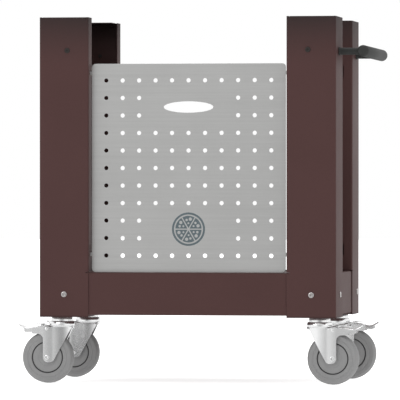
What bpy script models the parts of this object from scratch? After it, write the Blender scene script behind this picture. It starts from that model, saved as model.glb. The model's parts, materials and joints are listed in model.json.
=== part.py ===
"""Wheeled stand for a table-top pizza oven.

Four folded sheet-steel corner posts are bolted to a ring of channel rails.  A deck lies under the
rails' top flanges, a perforated panel hangs in slots between the front posts, a push bar
stands out on two arms on the right, and four swivel castors with brake pedals carry the stand.

Metres, +Z up, +X to the right, the panel faces -Y.  The origin is on the floor, below the middle
of the whole stand.
"""
import math

import bmesh
import bpy
from mathutils import Matrix, Vector

MM = 0.001
GAP = 0.3 * MM                       # room kept between pieces that touch

# Posts
STAND_WIDTH = 717 * MM               # outside of the side walls
STAND_DEPTH = 447.5 * MM             # outside of the front and rear faces
POST_HEIGHT = 719 * MM
POST_FACE = 119 * MM                 # wide face, at the front or the rear
POST_SIDE = 130 * MM                 # side wall
LIP = 46 * MM                        # folded edges that the panels hook into
TOP_FLANGE = 86 * MM                 # folded from the wide face, carries the oven
SHEET = 2 * MM
BEND_RADIUS = 4 * MM
BEND_STEPS = 3
RELIEF_WIDTH = 2 * MM                # notch at the end of a fold
RELIEF_LENGTH = 7 * MM

# Slots in the lips, and the hooks that hang in them
SLOT_HEIGHT = 28 * MM
SLOT_PLAY = 2 * MM                   # on each side of the panel's sheet
LOW_SLOT_RISE = 38.2 * MM            # lower slot's end above the panel's lower edge
HIGH_SLOT_DROP = 27.5 * MM           # upper slot's lower end below the panel's upper edge
HOOK_NECK = 14 * MM
HOOK_LEG = 5 * MM
HOOK_PLAY = 0.5 * MM
HOOK_CLEARANCE = 4 * MM              # slot's height left over when a hook passes it

# Rails and deck
RAIL_RISE = 5 * MM                   # rails' lower edge above the posts' lower ends
RAIL_HEIGHT = 102 * MM
RAIL_FLANGE = 24 * MM
LIP_CLEARANCE = 1.5 * MM             # between the rails and the lips above them
DECK_HEM = 18 * MM

# Perforated panel
PANEL_SHEET = 2 * MM
PANEL_SIDE_GAP = 4.5 * MM            # to the lips beside it
PANEL_DROP = 111.5 * MM              # upper edge below the posts' tops
PANEL_SETBACK = 24 * MM              # its middle plane behind the posts' faces
PANEL_LIFT = 0.5 * MM                # above the rails
PANEL_CORNER = 9 * MM
HOLE_RADIUS = 4.9 * MM
HOLE_SIDES = 8
HOLE_MARGIN_X = 35 * MM              # outermost holes' centres to the panel's edges
HOLE_MARGIN_Z = 40 * MM
HOLE_COUNT = 11                      # in each row and column
BLANK_ROWS = (1, 2, 8, 9)            # rows with no holes in their middle
BLANK_COLUMNS = range(3, 8)
GRIP_WIDTH = 120 * MM
GRIP_HEIGHT = 27 * MM
GRIP_DROP = 104 * MM                 # centre below the panel's upper edge
GRIP_SIDES = 24

# Fasteners
BOLT_RADIUS = 4 * MM
BOLT_HEAD_RADIUS = 7.2 * MM
BOLT_HEAD_HEIGHT = 4 * MM
BOLT_GRIP = 12 * MM
BOLT_CLEARANCE = 0.4 * MM            # around the shanks
BOLT_RISE = 49.6 * MM                # rail bolts above the rails' lower edges
FRONT_SIDE_BOLT = 77 * MM            # from the front, on the side walls
REAR_SIDE_BOLT = 43.6 * MM           # from the rear, on the side walls
PLUG_INSET = 67.5 * MM               # from the post's outer side
PLUG_DROP = 80 * MM                  # below the posts' tops
PLUG_RADIUS = 6.6 * MM
PLUG_HEIGHT = 2.4 * MM

# Push bar
BAR_RADIUS = 14 * MM
BAR_OVERHANG = 27.25 * MM            # past the arms' axes
BAR_REACH = 61 * MM                  # bar's axis outside the side walls
BAR_DROP = 83 * MM                   # below the posts' tops
BAR_END_ROUND = 4 * MM
ARM_RADIUS = 8.5 * MM
ARM_INSET = 55 * MM                  # from the front and the rear
ARM_BORE_DEPTH = 22 * MM

# Castors
SWIVEL_INSET_X = 45.5 * MM           # swivel axis inside the side walls
SWIVEL_INSET_Y = 50 * MM
TRAIL = 33 * MM                      # axle behind the swivel axis
WHEEL_RADIUS = 62.5 * MM
WHEEL_SIDES = 32
TYRE_WIDTH = 32 * MM
TYRE_SHOULDER = 6 * MM
HUB_RADIUS = 36.3 * MM
HUB_RECESS = 1 * MM                  # hub's faces inside the tyre's
BOSS_RADIUS = 12 * MM
GROOVE = 1.0 * MM                    # chamfers where hub and tyre meet
AXLE_RADIUS = 4 * MM
AXLE_HEAD_RADIUS = 6.5 * MM
AXLE_HEAD_HEIGHT = 2.2 * MM
RUNNING_CLEARANCE = 0.4 * MM
PLATE_THICKNESS = 4.5 * MM
PLATE_WIDTH = 112 * MM
PLATE_DEPTH = 106 * MM
STUD_RADIUS = 6 * MM
STUD_END = 1.4 * MM                  # stands out of the nut
NUT_RADIUS = 10.9 * MM
NUT_HEIGHT = 10 * MM
FORK_SHEET = 3 * MM
FORK_PLAY = 4 * MM                   # fork's inner face beside the tyre
CROWN_CLEARANCE = 11 * MM            # fork's crown above the wheel
CROWN_LENGTH = 26 * MM               # ahead of the swivel axis
CROWN_TAIL = 2 * MM                  # past the legs' upright edge
CROWN_SKIRT = 6 * MM                 # upright rim ahead of the swivel axis
RACE_HEIGHT = 5 * MM
UPPER_RACE_HEIGHT = 14.9 * MM
LOWER_RACE_RADIUS = 30 * MM
UPPER_RACE_RADIUS = 27 * MM
UPPER_RACE_TOP_RADIUS = 21.5 * MM
RACE_GAP = 1 * MM
KING_PIN_RADIUS = 8 * MM
KING_PIN_HEAD_RADIUS = 13 * MM
LEG_BACK = 9.5 * MM                  # leg's upright edge behind the axle
LEG_FRONT = 13 * MM                  # leg's lower corner ahead of the axle
LEG_END = 14 * MM                    # leg's lower end below the axle
EAR_DROP = 2 * MM                    # ears below the crown's underside
EAR_LENGTH = 27.5 * MM               # rearward ears that hold the pedal
EAR_HEIGHT = 15.5 * MM
PEDAL_SHEET = 2 * MM
PEDAL_PIN_RADIUS = 2.5 * MM
PEDAL_PIN_DROP = 5.5 * MM            # below the crown's underside
PEDAL_PLAY = 1.1 * MM                # pedal's sides inside the fork's ears
PEDAL_EYE = 5 * MM                   # metal around the pin
PEDAL_REACH = 72 * MM                # pedal's tip behind the axle
TIP_LENGTH = 17 * MM                 # turned-up end of the pedal
TIP_RISE = 5.5 * MM
TAB_LENGTH = 18 * MM                 # release tab above the pedal
TAB_RISE = 7.5 * MM
SHOE_START = 22 * MM                 # brake shoe behind the pedal's pin
SHOE_LENGTH = 10 * MM

# Places worked out from the sizes above
HALF_WIDTH = STAND_WIDTH / 2
HALF_DEPTH = STAND_DEPTH / 2
CROWN_BASE = 2 * WHEEL_RADIUS + CROWN_CLEARANCE
CROWN_TOP = CROWN_BASE + FORK_SHEET
RACE_BASE = CROWN_TOP + RACE_HEIGHT + RACE_GAP
PLATE_BASE = RACE_BASE + UPPER_RACE_HEIGHT + GAP
PLATE_TOP = PLATE_BASE + PLATE_THICKNESS
RAIL_BASE = PLATE_TOP + GAP
RAIL_TOP = RAIL_BASE + RAIL_HEIGHT
POST_BASE = RAIL_BASE - RAIL_RISE
POST_TOP = POST_BASE + POST_HEIGHT
RAIL_HALF_X = HALF_WIDTH - SHEET - GAP       # outside of the side rails' webs
RAIL_HALF_Y = HALF_DEPTH - SHEET - GAP       # outside of the front and rear rails' webs
LIP_X = HALF_WIDTH - POST_FACE               # lips' faces beside the panel
PANEL_Y = -HALF_DEPTH + PANEL_SETBACK
PANEL_BASE = RAIL_TOP + PANEL_LIFT
PANEL_WIDTH = 2 * (LIP_X - PANEL_SIDE_GAP)
PANEL_HEIGHT = POST_TOP - PANEL_DROP - PANEL_BASE
HOLE_PITCH_X = (PANEL_WIDTH - 2 * HOLE_MARGIN_X) / (HOLE_COUNT - 1)
HOLE_PITCH_Z = (PANEL_HEIGHT - 2 * HOLE_MARGIN_Z) / (HOLE_COUNT - 1)
SLOT_WIDTH = PANEL_SHEET + 2 * SLOT_PLAY
SLOT_BASES = (PANEL_BASE + LOW_SLOT_RISE, PANEL_BASE + PANEL_HEIGHT - HIGH_SLOT_DROP)
HOOK_DROP = SLOT_HEIGHT - HOOK_NECK - HOOK_CLEARANCE - GAP
RAIL_BOLT_Z = RAIL_BASE + BOLT_RISE
BOLT_HOLE_RADIUS = BOLT_RADIUS + BOLT_CLEARANCE
PLUG_Z = POST_TOP - PLUG_DROP
BAR_X = HALF_WIDTH + BAR_REACH
BAR_Z = POST_TOP - BAR_DROP
BAR_HALF = HALF_DEPTH - ARM_INSET + BAR_OVERHANG
SWIVEL_X = HALF_WIDTH - SWIVEL_INSET_X
SWIVEL_Y = HALF_DEPTH - SWIVEL_INSET_Y
AXLE_HEIGHT = WHEEL_RADIUS * math.cos(math.pi / WHEEL_SIDES)   # the tread stands on a flat
FORK_HALF = TYRE_WIDTH / 2 + FORK_PLAY       # half the space between the fork's legs
LEG_EDGE = TRAIL + LEG_BACK                  # legs' upright edge behind the swivel axis
PEDAL_HALF = FORK_HALF - PEDAL_PLAY          # half the pedal's outer width
PEDAL_PIN_X = TRAIL + 1 * MM
PEDAL_PIN_Z = CROWN_BASE - PEDAL_PIN_DROP
OUTER_RIGHT = BAR_X + BAR_RADIUS
OUTER_LEFT = SWIVEL_X + TRAIL + PEDAL_REACH

CORNERS = {"front_left": (-1, -1), "front_right": (1, -1), "rear_left": (-1, 1), "rear_right": (1, 1)}


# ---------------------------------------------------------------- scene and materials

def clear_scene():
    for item in list(bpy.data.objects):
        bpy.data.objects.remove(item, do_unlink=True)


def new_collection(name):
    collection = bpy.data.collections.new(name)
    bpy.context.scene.collection.children.link(collection)
    return collection


def finish(name, color, roughness, metallic):
    """A Principled material of one colour."""
    material = bpy.data.materials.new(name)
    material.use_nodes = True
    shader = material.node_tree.nodes["Principled BSDF"]
    shader.inputs["Base Color"].default_value = (*color, 1.0)
    shader.inputs["Roughness"].default_value = roughness
    shader.inputs["Metallic"].default_value = metallic
    return material


clear_scene()
PARTS = new_collection("pizza_oven_stand")
CUTTERS = new_collection("cutters")
BROWN_PAINT = finish("brown_powder_coat", (0.082, 0.046, 0.043), 0.55, 0.0)
STAINLESS = finish("brushed_stainless", (0.43, 0.43, 0.42), 0.38, 1.0)
ZINC = finish("bright_zinc", (0.62, 0.63, 0.65), 0.28, 1.0)
RUBBER = finish("grey_rubber", (0.25, 0.25, 0.25), 0.7, 0.0)
HUB_GREY = finish("grey_hub", (0.23, 0.23, 0.23), 0.6, 0.0)
BLACK_GRIP = finish("black_grip", (0.06, 0.06, 0.06), 0.6, 0.0)

ORIGIN = bpy.data.objects.new("stand_origin", None)
ORIGIN.location.x = (OUTER_LEFT - OUTER_RIGHT) / 2
PARTS.objects.link(ORIGIN)


# ---------------------------------------------------------------- modelling helpers

def add_box(bm, low, high):
    low, high = Vector(low), Vector(high)
    size = Matrix.Diagonal((*(high - low), 1.0))
    bmesh.ops.create_cube(bm, size=1.0, matrix=Matrix.Translation((low + high) / 2) @ size)


def add_rod(bm, start, end, radius, sides=16, end_radius=None):
    """A cylinder, or a cone where end_radius is given, from start to end."""
    start, end = Vector(start), Vector(end)
    turn = Vector((0, 0, 1)).rotation_difference(end - start).to_matrix().to_4x4()
    bmesh.ops.create_cone(bm, cap_ends=True, segments=sides, radius1=radius,
                          radius2=radius if end_radius is None else end_radius,
                          depth=(end - start).length,
                          matrix=Matrix.Translation((start + end) / 2) @ turn)


def mesh_from(bm, name):
    mesh = bpy.data.meshes.new(name)
    bm.to_mesh(mesh)
    bm.free()
    return mesh


def add_piece(name, mesh, material, place=Matrix.Identity(4), parent=ORIGIN):
    """A named sub-part at its place in the stand, or in its parent's frame."""
    piece = bpy.data.objects.new(name, mesh)
    PARTS.objects.link(piece)
    if not mesh.materials:
        mesh.materials.append(material)
    piece.parent = parent
    piece.matrix_local = place
    return piece


def add_cutter(name, mesh, parent=ORIGIN):
    cutter = bpy.data.objects.new(name, mesh)
    CUTTERS.objects.link(cutter)
    cutter.parent = parent
    cutter.display_type = "WIRE"
    cutter.hide_render = True
    return cutter


def combine(piece, tool, operation):
    modifier = piece.modifiers.new(operation.lower(), "BOOLEAN")
    modifier.operation = operation
    modifier.object = tool
    modifier.solver = "EXACT"


def solidify(piece, thickness):
    """Thickness behind the surface, so its outer side keeps its place."""
    modifier = piece.modifiers.new("sheet", "SOLIDIFY")
    modifier.thickness = thickness
    modifier.offset = -1.0
    modifier.use_even_offset = True


def evaluated_mesh(piece, name):
    """The finished mesh of a piece, which is then removed."""
    graph = bpy.context.evaluated_depsgraph_get()
    mesh = bpy.data.meshes.new_from_object(piece.evaluated_get(graph))
    mesh.name = name
    bpy.data.objects.remove(piece, do_unlink=True)
    return mesh


def rounded(corners, steps=4):
    """An outline whose corners (x, y, radius) are rounded by arcs."""
    outline = []
    for index, (x, y, radius) in enumerate(corners):
        corner = Vector((x, y))
        before = (Vector(corners[index - 1][:2]) - corner).normalized()
        after = (Vector(corners[(index + 1) % len(corners)][:2]) - corner).normalized()
        if radius == 0:
            outline.append(corner)
            continue
        half = before.angle(after) / 2
        centre = corner + (before + after).normalized() * radius / math.sin(half)
        first = corner + before * radius / math.tan(half) - centre
        last = corner + after * radius / math.tan(half) - centre
        sweep = first.angle_signed(last)
        for step in range(steps + 1):
            outline.append(centre + Matrix.Rotation(-sweep * step / steps, 2) @ first)
    return outline


def plate(name, outlines, thickness):
    """A flat plate in the XY plane, centred on it; the outlines after the first are its holes."""
    curve = bpy.data.curves.new(name, "CURVE")
    curve.dimensions = "2D"
    curve.fill_mode = "BOTH"
    curve.extrude = thickness / 2
    for outline in outlines:
        spline = curve.splines.new("POLY")
        spline.points.add(len(outline) - 1)
        for point, place in zip(spline.points, outline):
            point.co = (*place, 0.0, 1.0)
        spline.use_cyclic_u = True
    flat = bpy.data.objects.new(name, curve)
    PARTS.objects.link(flat)
    mesh = evaluated_mesh(flat, name)
    bm = bmesh.new()
    bm.from_mesh(mesh)
    bmesh.ops.remove_doubles(bm, verts=bm.verts, dist=0.01 * MM)
    bmesh.ops.recalc_face_normals(bm, faces=bm.faces)
    bm.to_mesh(mesh)
    bm.free()
    return mesh


def turned(name, profile, sides, closed=False):
    """A solid of revolution about Z from (radius, height) points, listed from the top down."""
    mesh = bpy.data.meshes.new(name)
    edges = [(i, i + 1) for i in range(len(profile) - 1)]
    if closed:
        edges.append((len(profile) - 1, 0))
    mesh.from_pydata([(radius, 0.0, height) for radius, height in profile], edges, [])
    blank = bpy.data.objects.new(name, mesh)
    PARTS.objects.link(blank)
    screw = blank.modifiers.new("turn", "SCREW")
    screw.steps = screw.render_steps = sides
    screw.use_merge_vertices = True
    screw.merge_threshold = 0.01 * MM
    solid = evaluated_mesh(blank, name)
    solid.shade_smooth()
    solid.set_sharp_from_angle(angle=math.radians(35))
    return solid


def fold(bm, direction, where):
    """Extrude the open edges for which where(middle) is true along direction."""
    edges = [e for e in bm.edges if e.is_boundary and where((e.verts[0].co + e.verts[1].co) / 2)]
    result = bmesh.ops.extrude_edge_only(bm, edges=edges)
    moved = [item for item in result["geom"] if isinstance(item, bmesh.types.BMVert)]
    bmesh.ops.translate(bm, vec=direction, verts=moved)


def split(bm, point, normal):
    bmesh.ops.bisect_plane(bm, geom=bm.verts[:] + bm.edges[:] + bm.faces[:], plane_co=point, plane_no=normal)


def round_folds(bm, radius=BEND_RADIUS):
    """Turn every sharp fold of a sheet into a bend."""
    folds = [e for e in bm.edges if len(e.link_faces) == 2 and e.calc_face_angle(0) > 1.0]
    bmesh.ops.bevel(bm, geom=folds, offset=radius, segments=BEND_STEPS, profile=0.5, affect="EDGES",
                    material=-1)


def near(value, target):
    return abs(value - target) < 0.05 * MM


# ---------------------------------------------------------------- posts

def post_surface():
    """Outer skin of a post: outer corner at the origin, face along +X, side wall along +Y."""
    bm = bmesh.new()
    height, lip_base = POST_HEIGHT, RAIL_TOP - POST_BASE + LIP_CLEARANCE
    bmesh.ops.create_grid(bm, x_segments=1, y_segments=1, size=0.5)
    stand_up = Matrix.Rotation(math.radians(90), 4, "X")
    stretch = Matrix.Diagonal((POST_FACE, 1.0, height, 1.0))
    shift = Matrix.Translation((POST_FACE / 2, 0, height / 2))
    bmesh.ops.transform(bm, matrix=shift @ stretch @ stand_up, verts=bm.verts)
    fold(bm, (0, POST_SIDE, 0), lambda c: near(c.x, 0))
    relief = RELIEF_LENGTH
    for z in (lip_base - RELIEF_WIDTH, lip_base, height - relief):
        split(bm, (0, 0, z), (0, 0, 1))
    for x in (relief - RELIEF_WIDTH, relief, POST_FACE - relief, POST_FACE - relief + RELIEF_WIDTH):
        split(bm, (x, 0, 0), (1, 0, 0))
    split(bm, (0, POST_SIDE - relief, 0), (0, 1, 0))
    notches = []
    for face in bm.faces:
        c = face.calc_center_median()
        beside_flange = min(abs(c.x - relief + RELIEF_WIDTH / 2),
                            abs(c.x - POST_FACE + relief - RELIEF_WIDTH / 2)) < RELIEF_WIDTH / 4
        under_lip = lip_base - RELIEF_WIDTH < c.z < lip_base
        if under_lip and (c.x > POST_FACE - relief or c.y > POST_SIDE - relief):
            notches.append(face)
        if near(c.y, 0) and beside_flange and c.z > height - relief:
            notches.append(face)
    bmesh.ops.delete(bm, geom=notches, context="FACES")
    fold(bm, (0, LIP, 0), lambda c: near(c.x, POST_FACE) and c.z > lip_base)
    fold(bm, (LIP, 0, 0), lambda c: near(c.y, POST_SIDE) and c.z > lip_base)
    fold(bm, (0, TOP_FLANGE, 0),
         lambda c: near(c.z, height) and near(c.y, 0) and relief < c.x < POST_FACE - relief)
    round_folds(bm)
    return bm


def post_cuts(name, side, end):
    """Slots and holes of the post on one side (-1 left, 1 right) and end (-1 front, 1 rear)."""
    bm = bmesh.new()
    lip_y = end * (HALF_DEPTH - PANEL_SETBACK)
    lip_x = side * (HALF_WIDTH - PANEL_SETBACK)
    through = 2 * SHEET
    for low in SLOT_BASES:
        high = low + SLOT_HEIGHT
        x, y = side * (LIP_X + SHEET / 2), end * (HALF_DEPTH - POST_SIDE + SHEET / 2)
        add_box(bm, (x - through, lip_y - SLOT_WIDTH / 2, low), (x + through, lip_y + SLOT_WIDTH / 2, high))
        add_box(bm, (lip_x - SLOT_WIDTH / 2, y - through, low), (lip_x + SLOT_WIDTH / 2, y + through, high))
    face_x, face_y = side * (HALF_WIDTH - POST_FACE / 2), end * HALF_DEPTH
    plug_x = side * (HALF_WIDTH - PLUG_INSET)
    for x, z in ((face_x, RAIL_BOLT_Z), (plug_x, PLUG_Z)):
        add_rod(bm, (x, face_y - through, z), (x, face_y + through, z), BOLT_HOLE_RADIUS)
    holes = [(side_bolt_y(end), RAIL_BOLT_Z)]
    if side > 0:
        holes.append((arm_y(end), BAR_Z))
    wall_x = side * HALF_WIDTH
    for y, z in holes:
        add_rod(bm, (wall_x - through, y, z), (wall_x + through, y, z), BOLT_HOLE_RADIUS)
    return add_cutter(name, mesh_from(bm, name))


def side_bolt_y(end):
    return end * HALF_DEPTH - end * (FRONT_SIDE_BOLT if end < 0 else REAR_SIDE_BOLT)


def arm_y(end):
    return end * (HALF_DEPTH - ARM_INSET)


def make_posts():
    for corner, (side, end) in CORNERS.items():
        bm = post_surface()
        mirror = Matrix.Diagonal((-side, -end, 1.0, 1.0))
        outer_corner = Matrix.Translation((side * HALF_WIDTH, end * HALF_DEPTH, POST_BASE))
        bmesh.ops.transform(bm, matrix=outer_corner @ mirror, verts=bm.verts)
        if side * end < 0:
            bmesh.ops.reverse_faces(bm, faces=bm.faces)
        post = add_piece(f"post_{corner}", mesh_from(bm, f"post_{corner}"), BROWN_PAINT)
        solidify(post, SHEET)
        combine(post, post_cuts(f"post_{corner}_cuts", side, end), "DIFFERENCE")


# ---------------------------------------------------------------- rails and deck

def channel_surface(length):
    """Outer skin of a channel along X with its web at Y = 0 and its flanges towards +Y."""
    bm = bmesh.new()
    bmesh.ops.create_grid(bm, x_segments=1, y_segments=1, size=0.5)
    stand_up = Matrix.Rotation(math.radians(90), 4, "X")
    stretch = Matrix.Diagonal((length, 1.0, RAIL_HEIGHT, 1.0))
    bmesh.ops.transform(bm, matrix=stretch @ stand_up, verts=bm.verts)
    fold(bm, (0, RAIL_FLANGE, 0), lambda c: near(abs(c.z), RAIL_HEIGHT / 2))
    round_folds(bm)
    return bm


def make_rail(name, length, place, holes):
    """A rail with bolt holes, given as points on its web."""
    bm = channel_surface(length)
    bmesh.ops.transform(bm, matrix=place, verts=bm.verts)
    rail = add_piece(name, mesh_from(bm, name), BROWN_PAINT)
    solidify(rail, SHEET)
    cuts = bmesh.new()
    depth = place.to_3x3() @ Vector((0, 4 * SHEET, 0))
    for hole in holes:
        add_rod(cuts, Vector(hole) - depth, Vector(hole) + depth, BOLT_HOLE_RADIUS)
    combine(rail, add_cutter(name + "_cuts", mesh_from(cuts, name + "_cuts")), "DIFFERENCE")


def make_rails():
    middle = RAIL_BASE + RAIL_HEIGHT / 2
    bolt_x = HALF_WIDTH - POST_FACE / 2
    for name, end in (("rail_front", -1), ("rail_rear", 1)):
        turn = Matrix.Rotation(0 if end < 0 else math.pi, 4, "Z")
        place = Matrix.Translation((0, end * RAIL_HALF_Y, middle)) @ turn
        holes = [(x, end * RAIL_HALF_Y, RAIL_BOLT_Z) for x in (-bolt_x, bolt_x)]
        make_rail(name, 2 * (HALF_WIDTH - BEND_RADIUS - GAP), place, holes)
    length = 2 * (RAIL_HALF_Y - RAIL_FLANGE - GAP)
    for name, side in (("rail_left", -1), ("rail_right", 1)):
        turn = Matrix.Rotation(math.radians(90 * side), 4, "Z")
        place = Matrix.Translation((side * RAIL_HALF_X, 0, middle)) @ turn
        holes = [(side * RAIL_HALF_X, side_bolt_y(end), RAIL_BOLT_Z) for end in (-1, 1)]
        make_rail(name, length, place, holes)


def make_deck():
    """Flat deck under the rails' top flanges, hemmed down at the front and the rear."""
    half_x = RAIL_HALF_X - BEND_RADIUS - GAP
    half_y = RAIL_HALF_Y - SHEET - GAP
    bm = bmesh.new()
    bmesh.ops.create_grid(bm, x_segments=1, y_segments=1, size=0.5)
    stretch = Matrix.Diagonal((2 * half_x, 2 * half_y, 1, 1))
    lift = Matrix.Translation((0, 0, RAIL_TOP - SHEET - GAP))
    bmesh.ops.transform(bm, matrix=lift @ stretch, verts=bm.verts)
    fold(bm, (0, 0, -DECK_HEM), lambda c: near(abs(c.y), half_y))
    round_folds(bm)
    deck = add_piece("shelf_deck", mesh_from(bm, "shelf_deck"), BROWN_PAINT)
    solidify(deck, SHEET)


# ---------------------------------------------------------------- panel

def panel_outline():
    """Rounded rectangle with two downward hooks on each side, about the panel's lower middle."""
    half = PANEL_WIDTH / 2
    lip = LIP_X + SHEET + HOOK_PLAY
    right = []
    for slot_base in SLOT_BASES:
        base = slot_base + GAP - PANEL_BASE
        right += [(half, base, 0), (lip, base, 0), (lip, base - HOOK_DROP, 0),
                  (lip + HOOK_LEG, base - HOOK_DROP, 1.5 * MM), (lip + HOOK_LEG, base + HOOK_NECK, 2 * MM),
                  (half, base + HOOK_NECK, 0)]
    left = [(-x, z, radius) for x, z, radius in reversed(right)]
    top = [(half, PANEL_HEIGHT, PANEL_CORNER), (-half, PANEL_HEIGHT, PANEL_CORNER)]
    bottom = [(-half, 0, PANEL_CORNER), (half, 0, PANEL_CORNER)]
    return rounded(right + top + left + bottom)


def ellipse(x, z, radius_x, radius_z, sides):
    turns = [2 * math.pi * (step + 0.5) / sides for step in range(sides)]
    return [Vector((x + radius_x * math.cos(a), z + radius_z * math.sin(a))) for a in turns]


def make_panel():
    grip = ellipse(0, PANEL_HEIGHT - GRIP_DROP, GRIP_WIDTH / 2, GRIP_HEIGHT / 2, GRIP_SIDES)
    outlines = [panel_outline(), grip]
    middle = (HOLE_COUNT - 1) / 2
    for row in range(HOLE_COUNT):
        for column in range(HOLE_COUNT):
            if row in BLANK_ROWS and column in BLANK_COLUMNS:
                continue
            x = (column - middle) * HOLE_PITCH_X
            z = PANEL_HEIGHT / 2 + (middle - row) * HOLE_PITCH_Z
            outlines.append(ellipse(x, z, HOLE_RADIUS, HOLE_RADIUS, HOLE_SIDES))
    mesh = plate("front_panel", outlines, PANEL_SHEET)
    place = Matrix.Translation((0, PANEL_Y, PANEL_BASE)) @ Matrix.Rotation(math.radians(90), 4, "X")
    add_piece("front_panel", mesh, STAINLESS, place)


# ---------------------------------------------------------------- fasteners

def bolt_mesh(name, head_radius, head_height, shank):
    """A low domed head on a plain shank, seated at Z = 0 with its head up."""
    profile = [(0, head_height), (0.55 * head_radius, 0.85 * head_height), (head_radius, 0.35 * head_height),
               (head_radius, 0), (BOLT_RADIUS, 0), (BOLT_RADIUS, -shank), (0, -shank)]
    return turned(name, profile, 14)


def seated(point, outward):
    """Place of a bolt whose head sits on a wall at point, a gap away, facing outward."""
    outward = Vector(outward)
    turn = Vector((0, 0, 1)).rotation_difference(outward).to_matrix().to_4x4()
    return Matrix.Translation(Vector(point) + outward * GAP) @ turn


def make_fasteners():
    bolt = bolt_mesh("rail_bolt", BOLT_HEAD_RADIUS, BOLT_HEAD_HEIGHT, BOLT_GRIP)
    plug = bolt_mesh("top_plug", PLUG_RADIUS, PLUG_HEIGHT, BOLT_GRIP / 2)
    for corner, (side, end) in CORNERS.items():
        face = (side * (HALF_WIDTH - POST_FACE / 2), end * HALF_DEPTH, RAIL_BOLT_Z)
        add_piece(f"face_bolt_{corner}", bolt, ZINC, seated(face, (0, end, 0)))
        wall = (side * HALF_WIDTH, side_bolt_y(end), RAIL_BOLT_Z)
        add_piece(f"side_bolt_{corner}", bolt, ZINC, seated(wall, (side, 0, 0)))
        top = (side * (HALF_WIDTH - PLUG_INSET), end * HALF_DEPTH, PLUG_Z)
        add_piece(f"top_plug_{corner}", plug, BROWN_PAINT, seated(top, (0, end, 0)))


# ---------------------------------------------------------------- push bar

def make_push_bar():
    end = BAR_END_ROUND
    arc = [(BAR_RADIUS - end + end * math.sin(a), BAR_HALF - end + end * math.cos(a))
           for a in (0, math.radians(30), math.radians(60), math.radians(90))]
    profile = [(0, BAR_HALF)] + arc + [(r, -h) for r, h in reversed(arc)] + [(0, -BAR_HALF)]
    along_y = Matrix.Rotation(math.radians(90), 4, "X")
    bar = add_piece("push_bar", turned("push_bar", profile, 20), BLACK_GRIP,
                    Matrix.Translation((BAR_X, 0, BAR_Z)) @ along_y)
    wall = HALF_WIDTH + GAP
    sockets = bmesh.new()
    arm_length = BAR_X - GAP - wall
    outside = [(0, arm_length), (ARM_RADIUS, arm_length), (ARM_RADIUS, 0)]
    bore = [(BOLT_HOLE_RADIUS, 0), (BOLT_HOLE_RADIUS, ARM_BORE_DEPTH), (0, ARM_BORE_DEPTH)]
    arm = turned("bar_arm", outside + bore, 16)
    bolt = bolt_mesh("arm_bolt", BOLT_HEAD_RADIUS, BOLT_HEAD_HEIGHT, ARM_BORE_DEPTH - SHEET)
    along_x = Matrix.Rotation(math.radians(90), 4, "Y")
    for name, end in (("front", -1), ("rear", 1)):
        y = arm_y(end)
        add_rod(sockets, (wall, y, BAR_Z), (BAR_X, y, BAR_Z), ARM_RADIUS + GAP, 16)
        add_piece(f"bar_arm_{name}", arm, BLACK_GRIP, Matrix.Translation((wall, y, BAR_Z)) @ along_x)
        inside = (HALF_WIDTH - SHEET, y, BAR_Z)
        add_piece(f"arm_bolt_{name}", bolt, ZINC, seated(inside, (-1, 0, 0)))
    combine(bar, add_cutter("push_bar_sockets", mesh_from(sockets, "push_bar_sockets")), "DIFFERENCE")


# ---------------------------------------------------------------- castors
# A castor is made about its swivel axis, on the floor, with its wheel trailing along +X.

def tyre_mesh():
    half, shoulder = TYRE_WIDTH / 2, TYRE_SHOULDER
    inner = HUB_RADIUS + GAP
    edge = [(inner + GROOVE, half), (WHEEL_RADIUS - shoulder, half),
            (WHEEL_RADIUS - 0.3 * shoulder, half - 0.3 * shoulder), (WHEEL_RADIUS, half - shoulder)]
    mirrored = [(r, -h) for r, h in reversed(edge)]
    profile = [(inner, half - GROOVE)] + edge + mirrored + [(inner, GROOVE - half)]
    return turned("tyre", profile, WHEEL_SIDES, closed=True)


def hub_mesh():
    half, boss = TYRE_WIDTH / 2 - HUB_RECESS, FORK_HALF - RUNNING_CLEARANCE
    bore = AXLE_RADIUS + RUNNING_CLEARANCE
    outer = [(bore, boss), (BOSS_RADIUS, boss), (BOSS_RADIUS, half), (HUB_RADIUS - GROOVE, half),
             (HUB_RADIUS, half - GROOVE)]
    return turned("wheel_hub", outer + [(r, -h) for r, h in reversed(outer)], 24, closed=True)


def axle_mesh():
    leg = FORK_HALF + FORK_SHEET + GAP
    end = [(0, leg + AXLE_HEAD_HEIGHT), (0.7 * AXLE_HEAD_RADIUS, leg + AXLE_HEAD_HEIGHT),
           (AXLE_HEAD_RADIUS, leg + 0.4 * AXLE_HEAD_HEIGHT), (AXLE_HEAD_RADIUS, leg), (AXLE_RADIUS, leg)]
    return turned("castor_axle", end + [(r, -h) for r, h in reversed(end)], 14)


def head_mesh():
    """Stud, upper race and king pin in one turned piece, heights above the floor."""
    top = PLATE_BASE - GAP
    stud_top = PLATE_TOP + GAP + NUT_HEIGHT + STUD_END
    profile = [(0, stud_top), (STUD_RADIUS, stud_top), (STUD_RADIUS, top),
               (UPPER_RACE_TOP_RADIUS - 2 * MM, top), (UPPER_RACE_TOP_RADIUS, top - 2 * MM),
               (UPPER_RACE_TOP_RADIUS + 1 * MM, RACE_BASE + 7 * MM), (UPPER_RACE_RADIUS, RACE_BASE + 3 * MM),
               (UPPER_RACE_RADIUS, RACE_BASE + 1 * MM), (UPPER_RACE_RADIUS - 3 * MM, RACE_BASE),
               (KING_PIN_RADIUS, RACE_BASE), (KING_PIN_RADIUS, CROWN_BASE - GAP),
               (KING_PIN_HEAD_RADIUS, CROWN_BASE - GAP), (KING_PIN_HEAD_RADIUS - 2 * MM, CROWN_BASE - 4 * MM),
               (0, CROWN_BASE - 4 * MM)]
    return turned("castor_head", profile, 24)


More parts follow.
